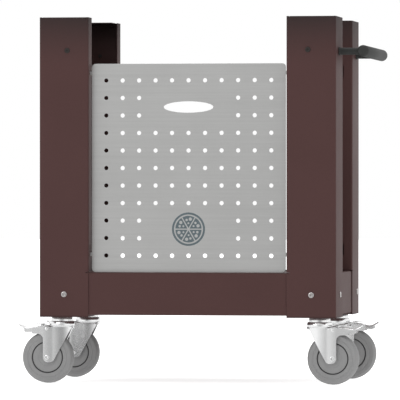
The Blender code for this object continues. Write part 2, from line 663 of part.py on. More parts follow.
def extruded(name, outline, thickness, axis):
    """Plate of an outline: axis Z keeps it in XY, axis Y stands it up in XZ."""
    mesh = plate(name, [outline], thickness)
    if axis == "Y":
        mesh.transform(Matrix.Rotation(math.radians(90), 4, "X"))
    return mesh


def stadium(half, front):
    """Plan of the fork: straight sides with a round nose ahead of the swivel axis."""
    nose = -(front - half)
    tail = LEG_EDGE + EAR_LENGTH + 5 * MM
    angles = [math.radians(90 + 15 * step) for step in range(13)]
    arc = [Vector((nose + half * math.cos(a), half * math.sin(a))) for a in angles]
    return [Vector((tail, half))] + arc + [Vector((tail, -half))]


def fork_mesh():
    back, tail = LEG_EDGE, LEG_EDGE + CROWN_TAIL
    low = AXLE_HEIGHT - LEG_END
    ear_top = CROWN_BASE - EAR_DROP
    ear_low = ear_top - EAR_HEIGHT
    skirt_low = CROWN_TOP - CROWN_SKIRT
    side = rounded([(-CROWN_LENGTH, CROWN_TOP, 0), (-CROWN_LENGTH, skirt_low, 0),
                    (-CROWN_LENGTH + 8.5 * MM, skirt_low - 3 * MM, 4 * MM), (TRAIL - LEG_FRONT, low, 12 * MM),
                    (back, low, 10 * MM), (back, ear_low, 13 * MM), (back + EAR_LENGTH, ear_low, 3 * MM),
                    (back + EAR_LENGTH, ear_top, 3 * MM), (tail, CROWN_BASE, 0), (tail, CROWN_TOP, 0)])
    fork = add_piece("fork_blank", extruded("fork", side, 2 * FORK_HALF + 20 * MM, "Y"), ZINC, parent=None)
    outer = extruded("fork_plan", stadium(FORK_HALF + FORK_SHEET, CROWN_LENGTH), 2 * CROWN_TOP + 20 * MM, "Z")
    inner = extruded("fork_inside", stadium(FORK_HALF, CROWN_LENGTH - FORK_SHEET), 2 * CROWN_BASE, "Z")
    combine(fork, add_cutter("fork_plan", outer, None), "INTERSECT")
    combine(fork, add_cutter("fork_inside", inner, None), "DIFFERENCE")
    race = bmesh.new()
    add_rod(race, (0, 0, CROWN_TOP - 1 * MM), (0, 0, CROWN_TOP + RACE_HEIGHT), LOWER_RACE_RADIUS, 24,
            LOWER_RACE_RADIUS - 2.5 * MM)
    combine(fork, add_cutter("fork_race", mesh_from(race, "fork_race"), None), "UNION")
    holes = bmesh.new()
    wide = FORK_HALF + 10 * MM
    low, high = CROWN_BASE - 5 * MM, RACE_BASE + 5 * MM
    add_rod(holes, (0, 0, low), (0, 0, high), KING_PIN_RADIUS + RUNNING_CLEARANCE, 24)
    axle, pin = (TRAIL, AXLE_HEIGHT, AXLE_RADIUS, 14), (PEDAL_PIN_X, PEDAL_PIN_Z, PEDAL_PIN_RADIUS, 12)
    for x, z, radius, sides in (axle, pin):
        add_rod(holes, (x, -wide, z), (x, wide, z), radius + RUNNING_CLEARANCE, sides)
    combine(fork, add_cutter("fork_holes", mesh_from(holes, "fork_holes"), None), "DIFFERENCE")
    return evaluated_mesh(fork, "castor_fork")


def pedal_mesh():
    """Channel with a turned-up tip, a release tab, a brake shoe and its pivot pin, in one piece."""
    eye = PEDAL_EYE
    x, z = PEDAL_PIN_X, PEDAL_PIN_Z
    top, sheet = z + eye, PEDAL_SHEET
    tip = TRAIL + PEDAL_REACH
    heel = tip - TIP_LENGTH
    low = z - 2 * eye
    tab = LEG_EDGE + CROWN_TAIL + 1.5 * MM
    tab_top = top + TAB_RISE
    tab_end, tab_low = tab + TAB_LENGTH, tab_top - 1.1 * sheet
    side = rounded([(x - eye, z - eye, 4.5 * MM), (x - eye, top, 4.5 * MM), (tab, top, 0), (tab, tab_top, 0),
                    (tab_end, tab_top, 0), (tab_end, tab_low, 0), (tab + sheet, tab_low, 0),
                    (tab + sheet, top + 0.5 * MM, 0), (heel, top - 3.5 * MM, 0),
                    (tip - 1 * MM, top + TIP_RISE, 0), (tip, top + TIP_RISE - 1.1 * sheet, 0),
                    (heel + 2 * MM, top - 6.5 * MM, 0), (heel + 1 * MM, low, 7 * MM),
                    (x + 11 * MM, low, 4 * MM), (x + eye, z - eye, 0)])
    pedal = add_piece("pedal_blank", extruded("pedal", side, 2 * PEDAL_HALF, "Y"), ZINC, parent=None)
    front, back = x - 4 * eye, heel - 2 * MM
    hollow = [Vector(p) for p in ((front, 0), (back, 0), (back, top - 3.3 * MM - sheet),
                                  (tab + sheet, top - sheet), (front, top - sheet))]
    inside = extruded("pedal_inside", hollow, 2 * (PEDAL_HALF - sheet), "Y")
    combine(pedal, add_cutter("pedal_inside", inside, None), "DIFFERENCE")
    first, last = x + SHOE_START, x + SHOE_START + SHOE_LENGTH
    shoe = [Vector(p) for p in ((first, z - 6 * MM), (last, z - 8.5 * MM), (last, top - sheet),
                                (first, top - sheet / 2))]
    block = extruded("pedal_shoe", shoe, TYRE_WIDTH - 6 * MM, "Y")
    combine(pedal, add_cutter("pedal_shoe", block, None), "UNION")
    pin = bmesh.new()
    reach = FORK_HALF + FORK_SHEET + 1 * MM
    add_rod(pin, (x, -reach, z), (x, reach, z), PEDAL_PIN_RADIUS, 12)
    combine(pedal, add_cutter("pedal_pin", mesh_from(pin, "pedal_pin"), None), "UNION")
    return evaluated_mesh(pedal, "brake_pedal")


def make_castor_plate(corner, side, end):
    """Plate inside a post's lower end, under the rails, that takes the castor's stud."""
    outer_x, outer_y = side * RAIL_HALF_X, end * RAIL_HALF_Y
    bm = bmesh.new()
    xs = sorted((outer_x, outer_x - side * PLATE_WIDTH))
    ys = sorted((outer_y, outer_y - end * PLATE_DEPTH))
    add_box(bm, (xs[0], ys[0], PLATE_BASE), (xs[1], ys[1], PLATE_BASE + PLATE_THICKNESS))
    inside_bend = [edge for edge in bm.edges
                   if all(near(v.co.x, outer_x) and near(v.co.y, outer_y) for v in edge.verts)]
    bmesh.ops.bevel(bm, geom=inside_bend, offset=BEND_RADIUS, segments=BEND_STEPS, profile=0.5,
                    affect="EDGES", material=-1)
    castor_plate = add_piece(f"castor_plate_{corner}", mesh_from(bm, "castor_plate"), BROWN_PAINT)
    hole = bmesh.new()
    x, y = side * SWIVEL_X, end * SWIVEL_Y
    add_rod(hole, (x, y, PLATE_BASE - PLATE_THICKNESS), (x, y, PLATE_BASE + 2 * PLATE_THICKNESS),
            STUD_RADIUS + RUNNING_CLEARANCE, 24)
    cutter = add_cutter(f"castor_plate_{corner}_hole", mesh_from(hole, "plate_hole"))
    combine(castor_plate, cutter, "DIFFERENCE")


def nut_mesh():
    base = PLATE_TOP + GAP
    nut = bmesh.new()
    add_rod(nut, (0, 0, base), (0, 0, base + NUT_HEIGHT), NUT_RADIUS, 6)
    blank = add_piece("nut_blank", mesh_from(nut, "nut_blank"), ZINC, parent=None)
    bore = bmesh.new()
    low, high = base - NUT_HEIGHT, base + 2 * NUT_HEIGHT
    add_rod(bore, (0, 0, low), (0, 0, high), STUD_RADIUS + RUNNING_CLEARANCE, 24)
    combine(blank, add_cutter("nut_bore", mesh_from(bore, "nut_bore"), None), "DIFFERENCE")
    return evaluated_mesh(blank, "castor_nut")


def make_castors():
    head, fork, pedal, nut = head_mesh(), fork_mesh(), pedal_mesh(), nut_mesh()
    axle, hub, tyre = axle_mesh(), hub_mesh(), tyre_mesh()
    sideways = Matrix.Rotation(math.radians(90), 4, "X")
    flat_down = Matrix.Rotation(math.pi / WHEEL_SIDES, 4, "Z")
    on_axle = Matrix.Translation((TRAIL, 0, AXLE_HEIGHT)) @ sideways
    for corner, (side, end) in CORNERS.items():
        make_castor_plate(corner, side, end)
        swivel = bpy.data.objects.new(f"swivel_{corner}", None)
        PARTS.objects.link(swivel)
        swivel.parent = ORIGIN
        swivel.location = (side * SWIVEL_X, end * SWIVEL_Y, 0)
        swivel.rotation_euler.z = 0 if side > 0 else math.pi
        add_piece(f"castor_head_{corner}", head, ZINC, parent=swivel)
        add_piece(f"castor_nut_{corner}", nut, ZINC, parent=swivel)
        add_piece(f"castor_fork_{corner}", fork, ZINC, parent=swivel)
        add_piece(f"brake_pedal_{corner}", pedal, ZINC, parent=swivel)
        add_piece(f"castor_axle_{corner}", axle, ZINC, on_axle, parent=swivel)
        add_piece(f"wheel_hub_{corner}", hub, HUB_GREY, on_axle, parent=swivel)
        add_piece(f"tyre_{corner}", tyre, RUBBER, on_axle @ flat_down, parent=swivel)


make_posts()
make_rails()
make_deck()
make_panel()
make_fasteners()
make_push_bar()
make_castors()
bpy.context.view_layer.update()
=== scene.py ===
"""Looks of the wheeled pizza oven stand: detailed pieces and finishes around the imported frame.

Metres, +Z up, +X to the right, the perforated panel faces -Y.  Every piece sits at the origin with
its place in its mesh.  Castor pieces are made about their swivel axis on the floor, with the wheel
trailing along +X, and then put under their post.
"""

import json
import math

import bmesh
import bpy
from mathutils import Matrix, Vector


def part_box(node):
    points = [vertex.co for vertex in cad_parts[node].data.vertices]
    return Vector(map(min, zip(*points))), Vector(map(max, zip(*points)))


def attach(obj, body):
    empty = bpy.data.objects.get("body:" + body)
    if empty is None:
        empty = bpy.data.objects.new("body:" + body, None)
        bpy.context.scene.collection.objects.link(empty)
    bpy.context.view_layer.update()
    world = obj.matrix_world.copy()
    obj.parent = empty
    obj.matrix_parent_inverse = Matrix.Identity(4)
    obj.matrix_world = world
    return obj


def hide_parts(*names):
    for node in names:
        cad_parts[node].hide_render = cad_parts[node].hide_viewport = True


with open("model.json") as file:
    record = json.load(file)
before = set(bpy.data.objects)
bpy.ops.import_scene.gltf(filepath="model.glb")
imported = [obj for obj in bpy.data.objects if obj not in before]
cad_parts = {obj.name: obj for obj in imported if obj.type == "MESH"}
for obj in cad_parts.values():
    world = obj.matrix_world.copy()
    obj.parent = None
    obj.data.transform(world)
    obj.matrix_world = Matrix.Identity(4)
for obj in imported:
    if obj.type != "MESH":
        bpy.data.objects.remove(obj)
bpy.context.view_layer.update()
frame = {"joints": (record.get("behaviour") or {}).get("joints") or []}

MM = 0.001
CORNERS = {"front_left": (-1, -1), "front_right": (1, -1), "rear_left": (-1, 1), "rear_right": (1, 1)}
AXES = {joint["name"]: Vector(joint["pos_m"]) for joint in frame["joints"] if "pos_m" in joint}

# Sheet work
SHEET = 2 * MM
BEND_RADIUS = 4 * MM
BEND_STEPS = 6
EDGE_EASE = 0.35 * MM                # broken edge of cut sheet
LIP = 46 * MM
TOP_FLANGE = 86 * MM
RAIL_FLANGE = 24 * MM
DECK_HEM = 18 * MM
RELIEF_WIDTH = 2 * MM                # notch at the end of a fold
RELIEF_LENGTH = 7 * MM
TOP_NOTCH = 0.7 * MM                 # width of the notches beside the top flange
TOP_NOTCH_DEPTH = 5 * MM
SLOT_HALF_WIDTH = 3 * MM
SLOT_HEIGHT = 28 * MM
LOW_SLOT_RISE = 38.2 * MM            # lower slots' lower ends above the panel's lower edge
HIGH_SLOT_DROP = 27.5 * MM           # upper slots' lower ends below the panel's upper edge
LIP_CLEARANCE = 1.5 * MM             # between the rails and the lips above them

# Panel
PANEL_SETBACK = 24 * MM
PANEL_CORNER = 9 * MM
HOLE_RADIUS = 5.1 * MM
HOLE_SIDES = 28
HOLE_COUNT = 11
HOLE_MARGIN_X = 35 * MM
HOLE_MARGIN_Z = 40 * MM
BLANK_ROWS = (1, 2, 8, 9)
BLANK_COLUMNS = range(3, 8)
GRIP_WIDTH = 120 * MM
GRIP_HEIGHT = 27 * MM
GRIP_DROP = 104 * MM
HOOK_NECK = 9 * MM
HOOK_DROP = 9.7 * MM
HOOK_LEG = 5 * MM
HOOK_REACH = 12 * MM                 # from the panel's edge to the end of a hook
HOOK_SEAT = 0.3 * MM                 # above the slot's lower end
EMBLEM_RADIUS = 40 * MM
EMBLEM_RISE = 103.5 * MM             # its centre above the panel's lower edge
EMBLEM_PROUD = 0.12 * MM             # thickness of the print

# Castors: heights above the floor, lengths from the swivel axis along the trail
FORK_HALF = 23 * MM                  # half width over the legs
FORK_SHEET = 3 * MM
FORK_CREASE = 0.9 * MM               # how far the legs are pressed in ahead of their crease
CREASE_LENGTH = 6 * MM
FORK_NOSE = 22 * MM                  # where the straight sides start to curve towards the nose
NOSE_FULLNESS = 2.3                  # 2 is an ellipse, more is squarer
FORK_BEND = 4.5 * MM
CROWN_TOP = 139 * MM
CROWN_FRONT = 29.5 * MM
CROWN_TAIL = 44.5 * MM
LEG_BACK = 42.5 * MM
LEG_LOW = 50.5 * MM
EAR_LOW = 118.5 * MM
EAR_TOP = 134 * MM
EAR_END = 70 * MM
RACE_TOP = 149.4 * MM
CUP_BASE = 145 * MM
CUP_TOP = 159.9 * MM
NUT_BASE = 165 * MM
NUT_TOP = 175 * MM
NUT_RADIUS = 10.9 * MM
STUD_RADIUS = 6 * MM
STUD_TOP = 176.4 * MM
AXLE_RADIUS = 4 * MM
TURN_STEPS = 96

# Screws and push bar
BOLT_SEAT, BOLT_HEAD = 4 * MM, 2.7 * MM     # from the frame's outer end to the seat, and the head's height
PLUG_SEAT, PLUG_HEAD = 2.4 * MM, 2.0 * MM
CAP_LENGTH = 6 * MM

# Brake pedal, from its pivot pin
PEDAL_SHEET = 2 * MM
PEDAL_HALF = 18.9 * MM
PEDAL_EYE = 5 * MM
PEDAL_HEEL = 53 * MM                 # blunt end of its channel, where its tip turns up
PEDAL_TIP = 68 * MM
TIP_RISE = 6 * MM
TIP_DEPTH = 3.6 * MM
RIDGE_RISE = 2.6 * MM                # highest line of its tread above the eye
TAB_START = 12 * MM
TAB_LENGTH = 18 * MM
TAB_RISE = 7.5 * MM

# Studio
FLOOR_GLOW = 0.62
ROOM_BRIGHTNESS = 0.30               # of the room at the camera, when the backdrop is 1
DIM_SIDE = (0.1562, -0.9877, 0.0)    # direction of the camera
DIM_START, DIM_END = 0.05, 0.34      # sines of half the angles where the dimness starts to lift and ends
SOFTBOXES = (("key_softbox", (-3.5, -4.5, 3.6), (3.0, 2.0), 60.0),
             ("top_softbox", (0.5, 0.5, 4.5), (4.0, 3.0), 70.0),
             ("side_softbox", (5.0, -2.0, 2.0), (2.0, 2.5), 4.0))
LIGHT_TARGET = (0.0, 0.0, 0.5)
CAMERA_PLACE = (1.7211, -10.9546, 0.4702)
CAMERA_TURN = 8.988                  # degrees about Z
LENS_LENGTH, SENSOR_WIDTH, LENS_SHIFT = 409.6, 36.0, -0.0307


# ---------------------------------------------------------------- finishes

class Link:
    """A node's output; Python's operators turn expressions on it into Math nodes."""

    def __init__(self, shop, socket):
        self.shop, self.socket = shop, socket

    def _math(self, operation, first, second):
        return self.shop.node("ShaderNodeMath", {"operation": operation}, {0: first, 1: second})

    def __add__(self, other):
        return self._math("ADD", self, other)

    def __radd__(self, other):
        return self._math("ADD", other, self)

    def __sub__(self, other):
        return self._math("SUBTRACT", self, other)

    def __rsub__(self, other):
        return self._math("SUBTRACT", other, self)

    def __mul__(self, other):
        return self._math("MULTIPLY", self, other)

    def __rmul__(self, other):
        return self._math("MULTIPLY", other, self)

    def __pow__(self, other):
        return self._math("POWER", self, other)


class Finish:
    """A Principled material that is built up from nodes."""

    def __init__(self, name, color, roughness, metallic=0.0, **constants):
        self.material = bpy.data.materials.new(name)
        self.material.use_nodes = True
        self.tree = self.material.node_tree
        self.shader = self.tree.nodes["Principled BSDF"]
        self.color = color
        self.set("Base Color", (*color, 1.0))
        self.set("Roughness", roughness)
        self.set("Metallic", metallic)
        for socket, value in constants.items():
            self.set(socket.replace("_", " "), value)
        self.place = self.node("ShaderNodeTexCoord", output="Object")

    def _join(self, socket, value):
        if isinstance(value, Link):
            self.tree.links.new(value.socket, socket)
        else:
            socket.default_value = value

    def set(self, socket, value):
        self._join(self.shader.inputs[socket], value)

    def node(self, kind, settings=None, inputs=None, output=0):
        """A node with its settings made first, then its sockets' values or links."""
        made = self.tree.nodes.new(kind)
        settings = dict(settings or {})
        stops = settings.pop("stops", None)
        for name, value in settings.items():
            setattr(made, name, value)
        if stops:
            ramp = made.color_ramp
            while len(ramp.elements) < len(stops):
                ramp.elements.new(0.5)
            for element, (position, color) in zip(ramp.elements, stops):
                element.position, element.color = position, color
        for name, value in (inputs or {}).items():
            self._join(made.inputs[name], value)
        return Link(self, made.outputs[output])

    def noise(self, scale, detail=2.0, stretch=(1.0, 1.0, 1.0), roughness=0.5):
        """Noise in the range 0 to 1 with a number of features a metre, stretched along an axis."""
        spread = self.node("ShaderNodeMapping", inputs={"Vector": self.place, "Scale": stretch})
        return self.node("ShaderNodeTexNoise", inputs={"Vector": spread, "Scale": scale, "Detail": detail,
                                                       "Roughness": roughness}, output="Fac")

    def ramp(self, factor, low, high, at_low=0.0, at_high=1.0):
        """A number that goes from at_low to at_high as factor goes from low to high."""
        limits = {"From Min": low, "From Max": high, "To Min": at_low, "To Max": at_high}
        return self.node("ShaderNodeMapRange", {"clamp": True}, {"Value": factor, **limits})

    def mix(self, factor, first, second):
        """A colour between two, each a tuple or a link."""
        inputs = {0: factor}
        for index, color in ((6, first), (7, second)):
            inputs[index] = color if isinstance(color, Link) else (*color, 1.0)
        return self.node("ShaderNodeMix", {"data_type": "RGBA"}, inputs, output=2)

    def axis(self, name):
        return self.node("ShaderNodeSeparateXYZ", inputs={0: self.place}, output=name)

    def edge(self, radius, low=0.02, high=0.22):
        """One along edges and bends, nothing on the flats."""
        rounded_normal = self.node("ShaderNodeBevel", {"samples": 4}, {"Radius": radius})
        true_normal = self.node("ShaderNodeNewGeometry", output="True Normal")
        along = self.node("ShaderNodeVectorMath", {"operation": "DOT_PRODUCT"},
                          {0: rounded_normal, 1: true_normal}, output="Value")
        return self.ramp(1 - along, low, high)

    def bump(self, height, strength, distance):
        self.set("Normal", self.node("ShaderNodeBump", inputs={"Height": height, "Strength": strength,
                                                                "Distance": distance}))


def shade(color, amount):
    return tuple(channel * amount for channel in color)


def brown_powder_coat():
    """Matt brown powder coat: fine pebbled skin, cloudy sheen, painted shade towards the posts' tops, along
    their bases and along edges and bends, and chips of wear on the edges.
    """
    paint = Finish("brown_powder_coat", (0.0585, 0.0288, 0.0275), 0.5, Specular_IOR_Level=0.10)
    pebble = paint.noise(1400, detail=3.0)
    cloud = paint.noise(7, detail=4.0)
    speck = paint.ramp(paint.noise(620, detail=1.0), 0.60, 0.72)
    height = paint.axis("Z")
    # Painted shade: darker towards the posts' tops, over their upper 125 mm.
    painted_top_shade = paint.ramp(height + (cloud - 0.5) * 0.035, POST_TOP - 0.125, POST_TOP + 0.004) ** 1.6
    # Painted shade: a dark band over the lowest 6 mm of the posts.
    painted_base_shade = paint.ramp(height + (cloud - 0.5) * 0.003, POST_BASE, POST_BASE + 0.006, 1.0, 0.0)
    # Mask along edges and bends: it carries painted shade and the chips of wear.
    edge = paint.edge(2.5 * MM)
    chips = paint.ramp(paint.noise(210, detail=4.0), 0.60, 0.66) * edge
    skin = paint.mix(cloud, shade(paint.color, 0.93), shade(paint.color, 1.07))
    skin = paint.mix(speck * 0.35, skin, shade(paint.color, 1.5))
    # Painted shade mixed in towards the posts' tops.
    skin = paint.mix(painted_top_shade * 0.75, skin, (0.016, 0.0145, 0.0145))
    # Painted shade mixed in along the posts' bases.
    skin = paint.mix(painted_base_shade * 0.5, skin, (0.024, 0.014, 0.014))
    # Painted shade: darker along every edge and bend.
    skin = paint.mix(edge * 0.5, skin, (0.022, 0.013, 0.0125))
    skin = paint.mix(chips * 0.45, skin, (0.105, 0.070, 0.062))
    paint.set("Base Color", skin)
    paint.set("Roughness", 0.44 + cloud * 0.12 + painted_top_shade * 0.1 + pebble * 0.04 - edge * 0.08)
    paint.bump(pebble + speck * 0.3, 0.22, 0.12 * MM)
    return paint.material


def brushed_stainless():
    """Stainless sheet brushed from side to side, with a painted highlight along its edges and hole rims."""
    steel = Finish("brushed_stainless", (0.56, 0.56, 0.55), 0.4, 1.0, Anisotropic=0.35)
    fine = steel.noise(2600, detail=4.0, stretch=(0.006, 1.0, 1.0), roughness=0.65)
    broad = steel.noise(190, detail=3.0, stretch=(0.010, 1.0, 1.0))
    smear = steel.noise(9, detail=3.0)
    # Painted highlight: lighter along the edges and the hole rims.
    painted_edge_highlight = steel.edge(1.2 * MM)
    tone = fine * 0.50 + broad * 0.40 + smear * 0.10 + painted_edge_highlight * 0.4
    steel.set("Base Color", steel.mix(tone, (0.47, 0.47, 0.463), (0.70, 0.70, 0.692)))
    steel.set("Roughness", 0.33 + fine * 0.10 + smear * 0.06)
    steel.bump(fine * 0.7 + broad * 0.3, 0.12, 0.05 * MM)
    return steel.material


def bright_zinc():
    """Bright zinc plate on pressed steel, a little clouded."""
    zinc = Finish("bright_zinc", (0.80, 0.80, 0.81), 0.22, 1.0)
    cloud = zinc.noise(85, detail=4.0, roughness=0.6)
    spangle = zinc.noise(520, detail=2.0)
    drawn = zinc.noise(900, detail=2.0, stretch=(1.0, 1.0, 0.05))
    zinc.set("Base Color", zinc.mix(cloud, (0.88, 0.885, 0.89), (0.96, 0.96, 0.96)))
    zinc.set("Roughness", 0.17 + cloud * 0.07 + spangle * 0.04)
    zinc.bump(spangle * 0.5 + drawn * 0.5, 0.03, 0.05 * MM)
    return zinc.material


def polished_bolt_steel():
    steel = Finish("polished_bolt_steel", (0.50, 0.47, 0.465), 0.25, 1.0)
    wipe = steel.noise(420, detail=3.0)
    steel.set("Base Color", steel.mix(wipe, (0.42, 0.395, 0.39), (0.58, 0.55, 0.54)))
    steel.set("Roughness", 0.18 + wipe * 0.16)
    steel.bump(wipe, 0.08, 0.05 * MM)
    return steel.material


def dark_lacquer():
    """Dark lacquer on the screw heads near the posts' tops."""
    lacquer = Finish("dark_lacquer", (0.024, 0.020, 0.018), 0.5, Specular_IOR_Level=0.2)
    wear = lacquer.noise(700, detail=3.0)
    lacquer.set("Base Color", lacquer.mix(wear, (0.016, 0.0135, 0.0125), (0.030, 0.0255, 0.0235)))
    lacquer.set("Roughness", 0.48 + wear * 0.2)
    lacquer.bump(wear, 0.15, 0.08 * MM)
    return lacquer.material


def grey_rubber():
    """Non-marking grey rubber, faintly dusty on the tread."""
    rubber = Finish("grey_rubber", (0.225, 0.225, 0.225), 0.65, Specular_IOR_Level=0.35)
    grain = rubber.noise(1500, detail=2.0)
    patch = rubber.noise(38, detail=4.0)
    dust = rubber.ramp(rubber.noise(140, detail=3.0), 0.55, 0.8)
    body = rubber.mix(patch, (0.188, 0.188, 0.189), (0.217, 0.217, 0.216))
    rubber.set("Base Color", rubber.mix(dust * 0.3, body, (0.27, 0.265, 0.26)))
    rubber.set("Roughness", 0.56 + patch * 0.14 + grain * 0.06)
    rubber.bump(grain, 0.25, 0.1 * MM)
    return rubber.material


def moulded_hub():
    """Grey moulded wheel centre with a fine spark-eroded grain."""
    nylon = Finish("moulded_hub", (0.22, 0.22, 0.22), 0.5)
    grain = nylon.noise(2200, detail=2.0)
    flow = nylon.noise(55, detail=3.0)
    nylon.set("Base Color", nylon.mix(flow, (0.186, 0.186, 0.187), (0.212, 0.212, 0.211)))
    nylon.set("Roughness", 0.44 + grain * 0.14)
    nylon.bump(grain, 0.22, 0.07 * MM)
    return nylon.material


def seam_rubber():
    """Nearly black ring in the groove between tyre and wheel centre."""
    seam = Finish("seam_rubber", (0.014, 0.014, 0.015), 0.7)
    grime = seam.noise(300, detail=3.0)
    seam.set("Base Color", seam.mix(grime, (0.010, 0.010, 0.011), (0.022, 0.021, 0.021)))
    seam.set("Roughness", 0.6 + grime * 0.25)
    seam.bump(grime, 0.2, 0.1 * MM)
    return seam.material


def soft_grip():
    """Dark grey satin coating of the push bar, a little polished where hands hold it."""
    grip = Finish("soft_grip", (0.024, 0.025, 0.024), 0.6, Specular_IOR_Level=0.18)
    pebble = grip.noise(1700, detail=3.0)
    rub = grip.noise(26, detail=4.0)
    grip.set("Base Color", grip.mix(rub, (0.024, 0.025, 0.024), (0.034, 0.035, 0.034)))
    grip.set("Roughness", 0.54 + rub * 0.12 + pebble * 0.06)
    grip.bump(pebble, 0.2, 0.1 * MM)
    return grip.material


def slate_print():
    """Slate-coloured screen print on the panel."""
    ink = Finish("slate_print", (0.068, 0.092, 0.103), 0.5)
    grain = ink.noise(900, detail=3.0)
    ink.set("Base Color", ink.mix(grain, (0.056, 0.077, 0.086), (0.080, 0.108, 0.120)))
    ink.set("Roughness", 0.42 + grain * 0.15)
    ink.bump(grain, 0.12, 0.04 * MM)
    return ink.material


# ---------------------------------------------------------------- making pieces

def near(value, target):
    return abs(value - target) < 0.05 * MM


def add_piece(name, bm, material, body, stands_for=(), place=None, smooth_angle=40.0):
    """A finished piece with its place in its mesh, riding on a body of the frame."""
    if place is not None:
        bmesh.ops.transform(bm, matrix=place, verts=bm.verts)
        if place.determinant() < 0:
            bmesh.ops.reverse_faces(bm, faces=bm.faces)
    mesh = bpy.data.meshes.new(name)
    bm.to_mesh(mesh)
    bm.free()
    mesh.materials.append(material)
    mesh.shade_smooth()
    mesh.set_sharp_from_angle(angle=math.radians(smooth_angle))
    piece = bpy.data.objects.new(name, mesh)
    bpy.context.scene.collection.objects.link(piece)
    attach(piece, body)
    if stands_for:
        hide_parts(*stands_for)
    return piece


def solidify(piece, thickness):
    """Thickness behind the outer skin, with its cut edges broken."""
    sheet = piece.modifiers.new("sheet", "SOLIDIFY")
    sheet.thickness, sheet.offset, sheet.use_quality_normals = thickness, -1.0, True
    return ease_edges(piece)


def ease_edges(piece, width=EDGE_EASE, segments=2, angle=50.0):
    """Round off a piece's sharp edges and keep its flats flat."""
    ease = piece.modifiers.new("eased_edges", "BEVEL")
    ease.width, ease.segments, ease.limit_method = width, segments, "ANGLE"
    ease.angle_limit = math.radians(angle)
    ease.use_clamp_overlap = False
    ease.harden_normals = True
    return piece


def rounded(corners, steps=8):
    """An outline whose corners (x, y, radius) are rounded by arcs."""
    outline = []
    for index, (x, y, radius) in enumerate(corners):
        corner = Vector((x, y))
        if radius == 0:
            outline.append(corner)
            continue
        before = (Vector(corners[index - 1][:2]) - corner).normalized()
        after = (Vector(corners[(index + 1) % len(corners)][:2]) - corner).normalized()
        half = before.angle(after) / 2
        centre = corner + (before + after).normalized() * radius / math.sin(half)
        first = corner + before * radius / math.tan(half) - centre
        last = corner + after * radius / math.tan(half) - centre
        sweep = first.angle_signed(last)
        for step in range(steps + 1):
            outline.append(centre + Matrix.Rotation(-sweep * step / steps, 2) @ first)
    return outline


def turned(profile, steps=TURN_STEPS, closed=False):
    """A solid of revolution about Z from (radius, height) points."""
    bm = bmesh.new()
    points = [bm.verts.new((radius, 0.0, height)) for radius, height in profile]
    edges = [bm.edges.new(pair) for pair in zip(points, points[1:])]
    if closed:
        edges.append(bm.edges.new((points[-1], points[0])))
    bmesh.ops.spin(bm, geom=points + edges, axis=(0, 0, 1), cent=(0, 0, 0), dvec=(0, 0, 0),
                   angle=2 * math.pi, steps=steps, use_merge=True)
    bmesh.ops.remove_doubles(bm, verts=bm.verts, dist=0.001 * MM)
    bmesh.ops.recalc_face_normals(bm, faces=bm.faces)
    return bm


def flat_plate(outlines, thickness):
    """A plate in the XY plane, centred on it, from outlines with holes in them."""
    bm = bmesh.new()
    for outline in outlines:
        points = [bm.verts.new((x, y, -thickness / 2)) for x, y in outline]
        for first, second in zip(points, points[1:] + points[:1]):
            bm.edges.new((first, second))
    bmesh.ops.triangle_fill(bm, use_beauty=True, use_dissolve=False, edges=bm.edges, normal=(0, 0, 1))
    made = bmesh.ops.extrude_face_region(bm, geom=bm.faces[:] + bm.edges[:])["geom"]
    bmesh.ops.translate(bm, vec=(0, 0, thickness), verts=only_verts(made))
    bmesh.ops.recalc_face_normals(bm, faces=bm.faces)
    return bm


def only_verts(items):
    return [item for item in items if isinstance(item, bmesh.types.BMVert)]


def fold(bm, direction, where):
    """Extrude the open edges for which where(middle) is true along direction."""
    edges = [edge for edge in bm.edges
             if edge.is_boundary and where((edge.verts[0].co + edge.verts[1].co) / 2)]
    made = bmesh.ops.extrude_edge_only(bm, edges=edges)["geom"]
    bmesh.ops.translate(bm, vec=direction, verts=only_verts(made))


def split(bm, point, normal, faces=None):
    """Cut the mesh, or some of its faces, by a plane."""
    faces = bm.faces[:] if faces is None else faces
    edges = {edge for face in faces for edge in face.edges}
    verts = {vert for face in faces for vert in face.verts}
    bmesh.ops.bisect_plane(bm, geom=[*verts, *edges, *faces], plane_co=point, plane_no=normal,
                           dist=0.0001 * MM)


def remove_faces(bm, where):
    faces = [face for face in bm.faces if where(face.calc_center_median())]
    bmesh.ops.delete(bm, geom=faces, context="FACES")


def bend_folds(bm):
    """Turn every sharp fold of a sheet into a smooth bend."""
    folds = [edge for edge in bm.edges if len(edge.link_faces) == 2 and edge.calc_face_angle(0) > 1.0]
    bmesh.ops.bevel(bm, geom=folds, offset=BEND_RADIUS, segments=BEND_STEPS, profile=0.5, affect="EDGES",
                    material=-1)


def upright_sheet(width, height):
    """A rectangle in the XZ plane that faces -Y, centred on X and standing on Z = 0."""
    bm = bmesh.new()
    bmesh.ops.create_grid(bm, x_segments=1, y_segments=1, size=0.5)
    stand_up = Matrix.Rotation(math.radians(90), 4, "X")
    stretch = Matrix.Diagonal((width, 1.0, height, 1.0))
    raised = Matrix.Translation((0, 0, height / 2))
    bmesh.ops.transform(bm, matrix=raised @ stretch @ stand_up, verts=bm.verts)
    return bm


# ---------------------------------------------------------------- sheet-metal frame

POST_LOW, POST_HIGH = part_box("post_front_left")
POST_BASE, POST_TOP = POST_LOW.z, POST_HIGH.z
POST_SIZE = POST_HIGH - POST_LOW
PANEL_LOW, PANEL_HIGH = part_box("front_panel")
PANEL_BASE = PANEL_LOW.z
PANEL_HEIGHT = PANEL_HIGH.z - PANEL_LOW.z
PANEL_HALF = (PANEL_HIGH.x - PANEL_LOW.x) / 2 - HOOK_REACH
SLOT_BASES = (PANEL_BASE + LOW_SLOT_RISE, PANEL_HIGH.z - HIGH_SLOT_DROP)
LIP_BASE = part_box("rail_front")[1].z + LIP_CLEARANCE


